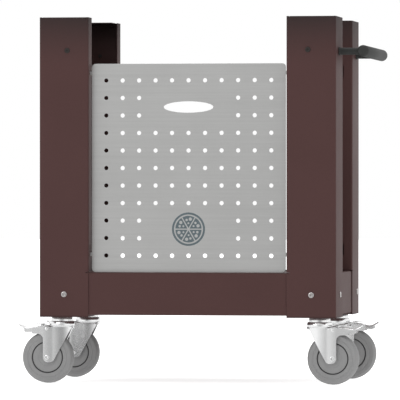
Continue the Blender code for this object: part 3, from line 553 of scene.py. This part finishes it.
def post_skin(width, depth, height):
    """Outer skin of a post: outer corner at the origin, face along +X, side wall along +Y."""
    bm = upright_sheet(width, height)
    bmesh.ops.translate(bm, vec=(width / 2, 0, 0), verts=bm.verts)
    fold(bm, (0, depth, 0), lambda c: near(c.x, 0))
    relief, lip_base = RELIEF_LENGTH, LIP_BASE - POST_BASE
    for z in (lip_base - RELIEF_WIDTH, lip_base):
        split(bm, (0, 0, z), (0, 0, 1))
    left, right = relief - TOP_NOTCH, width - relief + TOP_NOTCH
    for x in (left, relief, width - relief, right):
        split(bm, (x, 0, 0), (1, 0, 0))
    split(bm, (0, 0, height - TOP_NOTCH_DEPTH), (0, 0, 1))
    split(bm, (0, depth - relief, 0), (0, 1, 0))
    remove_faces(bm, lambda c: lip_base - RELIEF_WIDTH < c.z < lip_base
                 and (c.x > width - relief or c.y > depth - relief))
    remove_faces(bm, lambda c: near(c.y, 0) and c.z > height - TOP_NOTCH_DEPTH
                 and (left < c.x < relief or width - relief < c.x < right))
    fold(bm, (0, LIP, 0), lambda c: near(c.x, width) and c.z > lip_base)
    fold(bm, (LIP, 0, 0), lambda c: near(c.y, depth) and c.z > lip_base)
    fold(bm, (0, TOP_FLANGE, 0),
         lambda c: near(c.z, height) and near(c.y, 0) and relief < c.x < width - relief)
    cut_slots(bm, width, depth)
    bend_folds(bm)
    return bm


def cut_slots(bm, width, depth):
    """Open the hook slots in both lips."""
    def in_lips(face):
        c = face.calc_center_median()
        return near(c.x, width) and c.y > 0 or near(c.y, depth) and c.x > 0
    levels = [base - POST_BASE + step for base in SLOT_BASES for step in (0, SLOT_HEIGHT)]
    for z in levels:
        split(bm, (0, 0, z), (0, 0, 1))
    for offset in (-SLOT_HALF_WIDTH, SLOT_HALF_WIDTH):
        split(bm, (PANEL_SETBACK + offset, 0, 0), (1, 0, 0), [face for face in bm.faces if in_lips(face)])
        split(bm, (0, PANEL_SETBACK + offset, 0), (0, 1, 0), [face for face in bm.faces if in_lips(face)])

    def in_slot(c):
        level = any(low < c.z < high for low, high in zip(levels[::2], levels[1::2]))
        across = c.y if near(c.x, width) else c.x
        in_lip = near(c.x, width) or near(c.y, depth)
        return level and in_lip and abs(across - PANEL_SETBACK) < SLOT_HALF_WIDTH

    remove_faces(bm, in_slot)


def make_posts(paint):
    for corner, (side, end) in CORNERS.items():
        low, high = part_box(f"post_{corner}")
        skin = post_skin(POST_SIZE.x, POST_SIZE.y, high.z - low.z)
        outer = Vector((high.x if side > 0 else low.x, high.y if end > 0 else low.y, low.z))
        place = Matrix.Translation(outer) @ Matrix.Diagonal((-side, -end, 1.0, 1.0))
        solidify(add_piece(f"corner_post_{corner}", skin, paint, "stand",
                           [f"post_{corner}"], place), SHEET)


def make_rails_and_deck(paint):
    for node, degrees in (("rail_front", 0), ("rail_rear", 180), ("rail_left", -90), ("rail_right", 90)):
        low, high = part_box(node)
        size, middle = high - low, (low + high) / 2
        length = max(size.x, size.y)
        channel = upright_sheet(length, size.z)
        fold(channel, (0, RAIL_FLANGE, 0), lambda c: near(c.z, 0) or near(c.z, size.z))
        bend_folds(channel)
        turn = Matrix.Rotation(math.radians(degrees), 4, "Z")
        web = middle + turn @ Vector((0, -min(size.x, size.y) / 2, 0))
        place = Matrix.Translation((web.x, web.y, low.z)) @ turn
        solidify(add_piece(f"{node}_channel", channel, paint, "stand", [node], place), SHEET)
    low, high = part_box("shelf_deck")
    size = high - low
    deck = bmesh.new()
    bmesh.ops.create_grid(deck, x_segments=1, y_segments=1, size=0.5)
    bmesh.ops.transform(deck, matrix=Matrix.Diagonal((size.x, size.y, 1.0, 1.0)), verts=deck.verts)
    fold(deck, (0, 0, -DECK_HEM), lambda c: near(abs(c.y), size.y / 2))
    bend_folds(deck)
    place = Matrix.Translation(((low.x + high.x) / 2, (low.y + high.y) / 2, high.z))
    solidify(add_piece("deck_sheet", deck, paint, "stand", ["shelf_deck"], place), SHEET)


def make_castor_plates(paint):
    for corner, (side, end) in CORNERS.items():
        low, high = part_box(f"castor_plate_{corner}")
        size, middle = high - low, (low + high) / 2
        swivel = AXES[f"castor_swivel_{corner}"]
        outline = []
        for x, y in ((1, 1), (-1, 1), (-1, -1), (1, -1)):
            outline.append((x * size.x / 2, y * size.y / 2, BEND_RADIUS if (x, y) == (side, end) else 1 * MM))
        hole = circle(swivel.x - middle.x, swivel.y - middle.y, STUD_RADIUS * 1.05, 32)
        plate = flat_plate([rounded(outline), hole], size.z)
        ease_edges(add_piece(f"castor_plate_{corner}_flat", plate, paint, "stand",
                             [f"castor_plate_{corner}"], Matrix.Translation(middle)))


# ---------------------------------------------------------------- panel

def circle(x, y, radius, sides, stretch=1.0):
    turns = [2 * math.pi * (step + 0.5) / sides for step in range(sides)]
    return [Vector((x + radius * math.cos(a), y + radius * stretch * math.sin(a))) for a in turns]


def panel_outline():
    """Rounded rectangle with two hooks on each side, about the panel's lower middle."""
    end = PANEL_HALF + HOOK_REACH
    lip = end - HOOK_LEG
    right = []
    for slot_base in SLOT_BASES:
        base = slot_base + HOOK_SEAT - PANEL_BASE
        right += [(PANEL_HALF, base, 0.8 * MM), (lip, base, 0.5 * MM), (lip, base - HOOK_DROP, 1.2 * MM),
                  (end, base - HOOK_DROP, 1.8 * MM), (end, base + HOOK_NECK, 3 * MM),
                  (PANEL_HALF, base + HOOK_NECK, 0.8 * MM)]
    left = [(-x, z, radius) for x, z, radius in reversed(right)]
    top = [(PANEL_HALF, PANEL_HEIGHT, PANEL_CORNER), (-PANEL_HALF, PANEL_HEIGHT, PANEL_CORNER)]
    bottom = [(-PANEL_HALF, 0, PANEL_CORNER), (PANEL_HALF, 0, PANEL_CORNER)]
    return rounded(right + top + left + bottom)


def make_panel(steel):
    grip_z = PANEL_HEIGHT - GRIP_DROP
    outlines = [panel_outline(), circle(0, grip_z, GRIP_WIDTH / 2, 72, GRIP_HEIGHT / GRIP_WIDTH)]
    pitch_x = 2 * (PANEL_HALF - HOLE_MARGIN_X) / (HOLE_COUNT - 1)
    pitch_z = (PANEL_HEIGHT - 2 * HOLE_MARGIN_Z) / (HOLE_COUNT - 1)
    for row in range(HOLE_COUNT):
        for column in range(HOLE_COUNT):
            if row in BLANK_ROWS and column in BLANK_COLUMNS:
                continue
            x = HOLE_MARGIN_X - PANEL_HALF + column * pitch_x
            z = PANEL_HEIGHT - HOLE_MARGIN_Z - row * pitch_z
            outlines.append(circle(x, z, HOLE_RADIUS, HOLE_SIDES))
    middle = (PANEL_LOW + PANEL_HIGH) / 2
    place = Matrix.Translation((middle.x, middle.y, PANEL_BASE)) @ Matrix.Rotation(math.radians(90), 4, "X")
    sheet = flat_plate(outlines, PANEL_HIGH.y - PANEL_LOW.y)
    ease_edges(add_piece("perforated_panel", sheet, steel, "panel", ["front_panel"], place))


def make_emblem(ink):
    """A round pizza cut in six, printed on the panel's lower middle: crust, slices and toppings."""
    outlines = [circle(0, 0, EMBLEM_RADIUS, 120), circle(0, 0, EMBLEM_RADIUS * 0.88, 120)]
    base, gap = EMBLEM_RADIUS * 0.80, EMBLEM_RADIUS * 0.035
    toppings = ((0.68, 0.30, 0.10), (0.62, 0.72, 0.075), (0.36, 0.52, 0.06))
    for number in range(6):
        start = math.radians(60 * number)
        middle = start + math.radians(30)
        apart = Vector((math.cos(middle), math.sin(middle))) * gap / math.sin(math.radians(30))
        arc = [start + math.radians(60 * step / 14) for step in range(15)]
        reach_out = base - apart.length
        outlines.append([apart] + [apart + Vector((math.cos(a), math.sin(a))) * reach_out for a in arc])
        for reach, turn, radius in toppings:
            spot = apart + Vector((math.cos(start + turn * math.radians(60)),
                                   math.sin(start + turn * math.radians(60)))) * base * reach
            outlines.append(circle(spot.x, spot.y, EMBLEM_RADIUS * radius, 20))
    print_layer = flat_plate(outlines, EMBLEM_PROUD)
    centre = ((PANEL_LOW.x + PANEL_HIGH.x) / 2, PANEL_LOW.y - EMBLEM_PROUD * 0.4, PANEL_BASE + EMBLEM_RISE)
    place = Matrix.Translation(centre) @ Matrix.Rotation(math.radians(90), 4, "X")
    add_piece("pizza_emblem", print_layer, ink, "panel", place=place)


# ---------------------------------------------------------------- screws and push bar

def six_sided(bm, radius):
    """Turn the rings of one radius into hexagons of that circumradius."""
    for vert in bm.verts:
        if near(vert.co.xy.length, radius):
            within = math.atan2(vert.co.y, vert.co.x) % math.radians(60)
            scale = math.cos(math.radians(30)) / math.cos(within - math.radians(30))
            vert.co.x *= scale
            vert.co.y *= scale


def socket_screw(radius, height, socket, shank, shank_radius):
    """A low domed head with a hexagon socket, seated at Z = 0 with its head up."""
    rise = height * 0.72
    dome = [(socket + 0.4 * MM + (radius - socket - 0.4 * MM) * math.sin(a),
             height - rise + rise * math.cos(a)) for a in (math.radians(10 * step) for step in range(10))]
    profile = ([(0, height * 0.28), (socket, height * 0.34), (socket, height - 0.25 * MM)] + dome
               + [(radius, 0.25 * MM), (radius - 0.25 * MM, 0), (shank_radius, 0), (shank_radius, -shank),
                  (0, -shank)])
    bm = turned(profile, 48)
    six_sided(bm, socket)
    return bm


def make_screws(steel, lacquer):
    kinds = {"face_bolt": ("y", steel, "bolt_steel"), "side_bolt": ("x", steel, "bolt_steel"),
             "top_plug": ("y", lacquer, "dark_plug")}
    for kind, (axis, material, slot) in kinds.items():
        for corner, (side, end) in CORNERS.items():
            outward = Vector((side, 0, 0)) if axis == "x" else Vector((0, end, 0))
            make_screw(f"{kind}_{corner}", outward, material, "stand")
    for end in ("front", "rear"):
        make_screw(f"arm_bolt_{end}", Vector((-1, 0, 0)), steel, "stand")


def make_screw(node, outward, material, body):
    """A screw in its node's place, with its head towards outward."""
    low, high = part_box(node)
    size, middle = high - low, (low + high) / 2
    radius, length = size.z / 2, abs(size.dot(outward))
    depth, height = (PLUG_SEAT, PLUG_HEAD) if node.startswith("top_plug") else (BOLT_SEAT, BOLT_HEAD)
    turn = Vector((0, 0, 1)).rotation_difference(outward).to_matrix().to_4x4()
    seat = middle + outward * (length / 2 - depth)
    screw = socket_screw(radius, height, radius * 0.42, length - depth, AXLE_RADIUS)
    add_piece(f"{node}_screw", screw, material, body, [node], Matrix.Translation(seat) @ turn, 35.0)


def mirrored(points):
    return points + [(radius, -height) for radius, height in reversed(points)]


def make_push_bar(grip):
    low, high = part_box("push_bar")
    middle, half, radius = (low + high) / 2, (high.y - low.y) / 2, (high.x - low.x) / 2
    along_y = Matrix.Translation(middle) @ Matrix.Rotation(math.radians(90), 4, "X")
    joint = half - CAP_LENGTH
    sleeve = mirrored([(0, joint), (radius - 1.2 * MM, joint), (radius - 0.3 * MM, joint - 0.15 * MM),
                       (radius, joint - 0.6 * MM)])
    add_piece("push_bar_sleeve", turned(sleeve), grip, "stand", ["push_bar"], along_y)
    cap = rounded([(0, half, 0), (radius * 0.74, half, 1.5 * MM), (radius, half - 3.2 * MM, 4 * MM),
                   (radius, joint + 0.5 * MM, 0.3 * MM), (radius - 1.2 * MM, joint, 0),
                   (0, joint - 4 * MM, 0)])
    for name, turn in (("front", 0), ("rear", 180)):
        flip = Matrix.Rotation(math.radians(turn), 4, "X")
        add_piece(f"push_bar_cap_{name}", turned(cap), grip, "stand",
                  place=along_y @ flip, smooth_angle=50.0)
        arm_low, arm_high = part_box(f"bar_arm_{name}")
        arm_middle, arm_radius = (arm_low + arm_high) / 2, (arm_high.z - arm_low.z) / 2
        length = middle.x - radius * 0.6 - arm_low.x
        arm = rounded([(0, 0, 0), (arm_radius * 1.18, 0, 0.5 * MM), (arm_radius * 1.18, 3 * MM, 0.8 * MM),
                       (arm_radius, 3.6 * MM, 0.5 * MM), (arm_radius, length, 0), (0, length, 0)])
        along_x = Matrix.Translation((arm_low.x, arm_middle.y, arm_middle.z)) @ Matrix.Rotation(
            math.radians(90), 4, "Y")
        add_piece(f"bar_arm_{name}_post", turned(arm), grip, "stand",
                  [f"bar_arm_{name}"], along_x)


# ---------------------------------------------------------------- castors

def side_sheet(outline, half_width, cuts=()):
    """One upright side wall of an outline (x, z), at Y = -half_width, facing outwards; mirror_across adds the
    other.
    """
    bm = bmesh.new()
    points = [bm.verts.new((x, -half_width, z)) for x, z in outline]
    for first, second in zip(points, points[1:] + points[:1]):
        bm.edges.new((first, second))
    bmesh.ops.triangle_fill(bm, use_beauty=True, use_dissolve=False, edges=bm.edges, normal=(0, -1, 0))
    for x in cuts:
        split(bm, (x, 0, 0), (1, 0, 0))
    return bm


def mirror_across(bm):
    bmesh.ops.mirror(bm, geom=bm.verts[:] + bm.edges[:] + bm.faces[:], matrix=Matrix.Identity(4),
                     merge_dist=0.01 * MM, axis="Y")
    bmesh.ops.remove_doubles(bm, verts=bm.verts, dist=0.01 * MM)


def fork_skin():
    """Outer skin of the pressed fork: round nose, two legs, ears for the pedal and a flat crown."""
    side = rounded([(-CROWN_FRONT, CROWN_TOP, 0), (-CROWN_FRONT, CROWN_TOP - 6 * MM, 0),
                    (-CROWN_FRONT + 5.5 * MM, CROWN_TOP - 8.5 * MM, 4 * MM), (19 * MM, LEG_LOW, 11 * MM),
                    (LEG_BACK, LEG_LOW, 11.5 * MM), (LEG_BACK, EAR_LOW, 13 * MM), (EAR_END, EAR_LOW, 3 * MM),
                    (EAR_END, EAR_TOP, 3 * MM), (CROWN_TAIL, CROWN_TOP - 3 * MM, 0),
                    (CROWN_TAIL, CROWN_TOP, 0)])
    length, half = CROWN_FRONT + FORK_NOSE, FORK_HALF - FORK_CREASE
    cuts = [FORK_NOSE - length * math.sin(math.radians(5 * step)) for step in range(18)]
    bm = side_sheet(side, FORK_HALF, cuts + [FORK_NOSE + CREASE_LENGTH])
    for vert in bm.verts:
        ahead = (FORK_NOSE - vert.co.x) / length
        if ahead > 0:
            vert.co.y = -half * max(1 - ahead ** NOSE_FULLNESS, 0.0) ** (1 / NOSE_FULLNESS)
        else:
            vert.co.y = -half - FORK_CREASE * min((vert.co.x - FORK_NOSE) / CREASE_LENGTH, 1.0)
    mirror_across(bm)
    tail = [vert for vert in bm.verts if near(vert.co.x, CROWN_TAIL) and near(vert.co.z, CROWN_TOP)]
    bm.edges.new(tail)
    rim = [edge for edge in bm.edges if all(near(vert.co.z, CROWN_TOP) for vert in edge.verts)]
    bmesh.ops.contextual_create(bm, geom=rim)
    bmesh.ops.recalc_face_normals(bm, faces=bm.faces)
    folds = [edge for edge in rim if len(edge.link_faces) == 2]
    bmesh.ops.bevel(bm, geom=folds, offset=FORK_BEND, segments=6, profile=0.5, affect="EDGES", material=-1)
    return bm


def pedal_skin(pin):
    """Outer skin of the brake pedal's blunt channel and turned-up tip, about the swivel axis."""
    x, z = pin.x, pin.z
    top, low = z + PEDAL_EYE, z - 2 * PEDAL_EYE
    heel, tip = x + PEDAL_HEEL, x + PEDAL_TIP
    ridge = [(x + PEDAL_EYE, top), (x + TAB_START - 0.5 * MM, top),
             (x + TAB_START + 1.5 * MM, top + RIDGE_RISE), (heel - 6 * MM, top - 2.2 * MM),
             (heel - 2 * MM, top - 2.4 * MM), (heel + 2 * MM, top - 1.2 * MM), (tip, top + TIP_RISE)]
    under = rounded([(tip, top + TIP_RISE, 0), (tip - 0.6 * MM, top + TIP_RISE - TIP_DEPTH, 0),
                     (heel + 2.5 * MM, top - 1.2 * MM - TIP_DEPTH, 1.5 * MM),
                     (heel + 3 * MM, low + 2 * MM, 4 * MM), (x + 11 * MM, low + 2 * MM, 4 * MM),
                     (x + PEDAL_EYE, z - PEDAL_EYE, 3 * MM),
                     (x - PEDAL_EYE, z - PEDAL_EYE, 4.5 * MM), (x - PEDAL_EYE, top, 4.5 * MM)])
    outline = [Vector(point) for point in ridge] + under[1:]
    bm = side_sheet(outline, PEDAL_HALF)
    mirror_across(bm)
    for first, second in zip(ridge, ridge[1:]):
        ends = [[vert for vert in bm.verts if near(vert.co.x, px) and near(vert.co.z, pz)]
                for px, pz in (first, second)]
        bmesh.ops.contextual_create(bm, geom=ends[0] + ends[1])
    bmesh.ops.recalc_face_normals(bm, faces=bm.faces)
    folds = [edge for edge in bm.edges if len(edge.link_faces) == 2 and edge.calc_face_angle(0) > 1.2]
    bmesh.ops.bevel(bm, geom=folds, offset=2.2 * MM, segments=4, profile=0.5, affect="EDGES", material=-1)
    return bm


def strip(path, half_width):
    """A sheet that follows a path of (x, z) points and runs across Y."""
    bm = bmesh.new()
    points = [bm.verts.new((x, -half_width, z)) for x, z in path]
    edges = [bm.edges.new(pair) for pair in zip(points, points[1:])]
    made = bmesh.ops.extrude_edge_only(bm, edges=edges)["geom"]
    bmesh.ops.translate(bm, vec=(0, 2 * half_width, 0), verts=only_verts(made))
    bmesh.ops.recalc_face_normals(bm, faces=bm.faces)
    return bm


def block(outline, thickness):
    """A solid of an outline (x, z), centred on Y = 0."""
    bm = flat_plate([outline], thickness)
    bmesh.ops.rotate(bm, cent=(0, 0, 0), matrix=Matrix.Rotation(math.radians(90), 3, "X"), verts=bm.verts)
    return bm


def head_profile():
    """Stud, race cup and king pin, from the stud's end down."""
    return ([(0, STUD_TOP), (STUD_RADIUS - 0.8 * MM, STUD_TOP), (STUD_RADIUS, STUD_TOP - 0.8 * MM),
             (STUD_RADIUS, CUP_TOP)]
            + rounded([(STUD_RADIUS, CUP_TOP, 0), (25.0 * MM, CUP_TOP, 1.8 * MM),
                       (25.8 * MM, 154 * MM, 3 * MM), (25.8 * MM, CUP_BASE, 1.0 * MM),
                       (23 * MM, CUP_BASE, 0), (8 * MM, CUP_BASE, 0)], 8)[1:]
            + [(8 * MM, 135.7 * MM), (13 * MM, 135.7 * MM), (12.6 * MM, 133.4 * MM), (10 * MM, 132 * MM),
               (0, 132 * MM)])


def race_profile():
    """The wide lower race that stands up round the cup."""
    floor = 144 * MM
    return rounded([(12 * MM, 138.4 * MM, 0), (30.2 * MM, 138.4 * MM, 0.8 * MM),
                    (30.8 * MM, 143 * MM, 3 * MM), (29.0 * MM, RACE_TOP, 1.0 * MM),
                    (27.0 * MM, RACE_TOP, 0.8 * MM), (27.0 * MM, floor, 0), (12 * MM, floor, 0)], 6)


def tyre_profile(radius):
    half, inner = 16 * MM, 37.9 * MM
    side = rounded([(inner, 14.4 * MM, 0), (38.6 * MM, half, 0.5 * MM), (46.4 * MM, half, 0.3 * MM),
                    (47.0 * MM, half - 0.6 * MM, 0.2 * MM), (48.2 * MM, half - 0.6 * MM, 0.2 * MM),
                    (48.8 * MM, half, 0.3 * MM), (radius - 5.4 * MM, half, 2.6 * MM),
                    (radius - 0.7 * MM, 9.6 * MM, 2.2 * MM), (radius, 0, 0)], 6)
    return [tuple(point) for point in side[:-1]] + [(radius, 0.0)] + [
        (point.x, -point.y) for point in reversed(side[:-1])]


def hub_profile(boss):
    face = 15.2 * MM
    points = rounded([(4.4 * MM, boss, 0), (12 * MM, boss, 0.8 * MM), (12.4 * MM, face, 0.8 * MM),
                      (19 * MM, face, 0.3 * MM), (19.5 * MM, face - 0.4 * MM, 0.2 * MM),
                      (21.5 * MM, face - 0.4 * MM, 0.2 * MM), (22 * MM, face, 0.3 * MM),
                      (32.6 * MM, face, 0.3 * MM), (33.0 * MM, face - 0.35 * MM, 0.2 * MM),
                      (33.8 * MM, face - 0.35 * MM, 0.2 * MM), (34.2 * MM, face, 0.3 * MM),
                      (35.3 * MM, face, 0.5 * MM), (35.3 * MM, face - 1.2 * MM, 0)], 4)
    return mirrored([tuple(point) for point in points])


def make_castor(corner, zinc, rubber, moulding, seam):
    side = CORNERS[corner][0]
    joints = ("castor_swivel", "wheel_spin", "pedal_press")
    swivel, wheel, pivot = (AXES[f"{name}_{corner}"] for name in joints)
    trail = abs(wheel.x - swivel.x)
    pin = Vector((abs(pivot.x - swivel.x), 0, pivot.z))
    outwards = Matrix.Rotation(0 if side > 0 else math.pi, 4, "Z")
    across = Matrix.Rotation(math.radians(90), 4, "X")
    under_post = Matrix.Translation((swivel.x, swivel.y, 0)) @ outwards
    on_axle = under_post @ Matrix.Translation((trail, 0, wheel.z)) @ across
    on_pin = under_post @ Matrix.Translation(pin) @ across
    fork, rolling, pedal = f"castor_{corner}", f"wheel_{corner}", f"pedal_{corner}"

    add_piece(f"{fork}_race_cup", turned(head_profile()), zinc, "stand", [f"castor_head_{corner}"],
              under_post, 35.0)
    thread, shoulder = STUD_RADIUS * 1.07, NUT_RADIUS * 0.86
    nut = turned([(thread, NUT_BASE), (shoulder, NUT_BASE), (NUT_RADIUS, NUT_BASE + 1.1 * MM),
                  (NUT_RADIUS, NUT_TOP - 1.1 * MM), (shoulder, NUT_TOP), (thread, NUT_TOP)], 48, closed=True)
    six_sided(nut, NUT_RADIUS)
    add_piece(f"{fork}_lock_nut", nut, zinc, "stand", [f"castor_nut_{corner}"], under_post, 30.0)

    legs = add_piece(f"{fork}_fork_legs", fork_skin(), zinc, fork, [f"castor_fork_{corner}"],
                     under_post)
    solidify(legs, FORK_SHEET)
    add_piece(f"{fork}_lower_race", turned(race_profile(), closed=True), zinc, fork, place=under_post)
    rivet = mirrored([(0, 23.5 * MM), (2.0 * MM, 23.55 * MM), (3.0 * MM, 23.8 * MM),
                      (4.4 * MM, 23.85 * MM), (5.2 * MM, 23.65 * MM), (5.6 * MM, 23.2 * MM),
                      (5.6 * MM, 22.9 * MM), (4 * MM, 22.9 * MM)])
    add_piece(f"{fork}_axle_rivet", turned(rivet, 48), zinc, fork, [f"castor_axle_{corner}"],
              on_axle, 45.0)

    add_piece(f"{rolling}_tyre_tread", turned(tyre_profile(wheel.z), closed=True), rubber, rolling,
              [f"tyre_{corner}"], on_axle, 30.0)
    add_piece(f"{rolling}_hub_moulding", turned(hub_profile(19.6 * MM), closed=True), moulding, rolling,
              [f"wheel_hub_{corner}"], on_axle, 30.0)
    groove_ring_profile = mirrored([(35.0 * MM, 14.2 * MM), (38.2 * MM, 14.2 * MM)])
    add_piece(f"{rolling}_groove_ring", turned(groove_ring_profile, closed=True), seam, rolling, place=on_axle)

    channel = add_piece(f"{pedal}_channel", pedal_skin(pin), zinc, pedal, [f"brake_pedal_{corner}"],
                        under_post)
    solidify(channel, PEDAL_SHEET)
    top = pin.z + PEDAL_EYE
    first = pin.x + TAB_START
    riser = rounded([(first, top - 0.6 * MM, 0), (first, top + TAB_RISE, 2 * MM),
                     (first + TAB_LENGTH, top + TAB_RISE, 0)], 5)
    tab = add_piece(f"{pedal}_release_tab", strip(riser, PEDAL_HALF), zinc, pedal, place=under_post)
    solidify(tab, PEDAL_SHEET)
    shoe = rounded([(pin.x + 22 * MM, pin.z - 6 * MM, 1 * MM), (pin.x + 32 * MM, pin.z - 8.5 * MM, 1 * MM),
                    (pin.x + 32 * MM, top - 2.6 * MM, 0), (pin.x + 22 * MM, top - 1.8 * MM, 0)])
    ease_edges(add_piece(f"{pedal}_brake_shoe", block(shoe, 26 * MM), rubber, pedal,
                         place=under_post))
    pivot_pin = mirrored([(0, 24.0 * MM), (1.8 * MM, 24.0 * MM), (2.6 * MM, 23.7 * MM), (3.4 * MM, 23.3 * MM),
                          (3.4 * MM, 23.1 * MM), (2.5 * MM, 23.1 * MM)])
    add_piece(f"{pedal}_pivot_pin", turned(pivot_pin, 32), zinc, pedal, place=on_pin,
              smooth_angle=50.0)


# ---------------------------------------------------------------- studio

def make_room():
    """A white studio that is dim only round the camera, so bright metal has something to show."""
    world = bpy.data.worlds.new("studio")
    bpy.context.scene.world = world
    world.use_nodes = True
    tree = world.node_tree
    backdrop = tree.nodes["Background"]
    backdrop.inputs["Color"].default_value = (1.0, 1.0, 1.0, 1.0)

    def node(kind, operation, *values):
        made = tree.nodes.new(kind)
        if operation:
            made.operation = operation
        for socket, value in zip(made.inputs, values):
            if isinstance(value, bpy.types.NodeSocket):
                tree.links.new(value, socket)
            else:
                socket.default_value = value
        return made.outputs

    direction = node("ShaderNodeTexCoord", None)["Generated"]
    along = node("ShaderNodeVectorMath", "DOT_PRODUCT", direction, DIM_SIDE)["Value"]
    away = node("ShaderNodeMath", "SQRT", node("ShaderNodeMath", "MULTIPLY_ADD", along, -0.5, 0.5)[0])[0]
    glow = node("ShaderNodeMapRange", None, away, DIM_START, DIM_END, ROOM_BRIGHTNESS, 1.0)[0]
    tree.links.new(glow, backdrop.inputs["Strength"])


def make_studio():
    floor = bmesh.new()
    bmesh.ops.create_grid(floor, x_segments=1, y_segments=1, size=30.0)
    mesh = bpy.data.meshes.new("studio_floor")
    floor.to_mesh(mesh)
    floor.free()
    ground = bpy.data.objects.new("studio_floor", mesh)
    bpy.context.scene.collection.objects.link(ground)
    paper = Finish("pale_paper", (0.93, 0.93, 0.93), 0.9, Specular_IOR_Level=0.1)
    paper.set("Emission Color", (1.0, 1.0, 1.0, 1.0))
    paper.set("Emission Strength", FLOOR_GLOW)
    ground.data.materials.append(paper.material)
    ground.visible_glossy = False

    make_room()
    target = Vector(LIGHT_TARGET)
    for name, spot, size, power in SOFTBOXES:
        lamp = bpy.data.lights.new(name, "AREA")
        lamp.shape, lamp.size, lamp.size_y, lamp.energy = "RECTANGLE", size[0], size[1], power
        light = bpy.data.objects.new(name, lamp)
        light.location = spot
        light.rotation_euler = (target - Vector(spot)).to_track_quat("-Z", "Y").to_euler()
        bpy.context.scene.collection.objects.link(light)


def make_camera():
    lens = bpy.data.cameras.new("studio_camera")
    lens.lens, lens.sensor_width, lens.shift_y = LENS_LENGTH, SENSOR_WIDTH, LENS_SHIFT
    lens.clip_end = 200.0
    camera = bpy.data.objects.new("studio_camera", lens)
    camera.location = CAMERA_PLACE
    camera.rotation_euler = (math.radians(90), 0.0, math.radians(CAMERA_TURN))
    bpy.context.scene.collection.objects.link(camera)
    bpy.context.scene.camera = camera


# ---------------------------------------------------------------- assembly

paint = brown_powder_coat()
zinc = bright_zinc()
grip = soft_grip()
make_posts(paint)
make_rails_and_deck(paint)
make_castor_plates(paint)
make_panel(brushed_stainless())
make_emblem(slate_print())
make_screws(polished_bolt_steel(), dark_lacquer())
make_push_bar(grip)
rubber, moulding, seam = grey_rubber(), moulded_hub(), seam_rubber()
for corner in CORNERS:
    make_castor(corner, zinc, rubber, moulding, seam)
make_studio()
make_camera()
bpy.context.scene.view_settings.view_transform = "Standard"

bpy.context.view_layer.update()
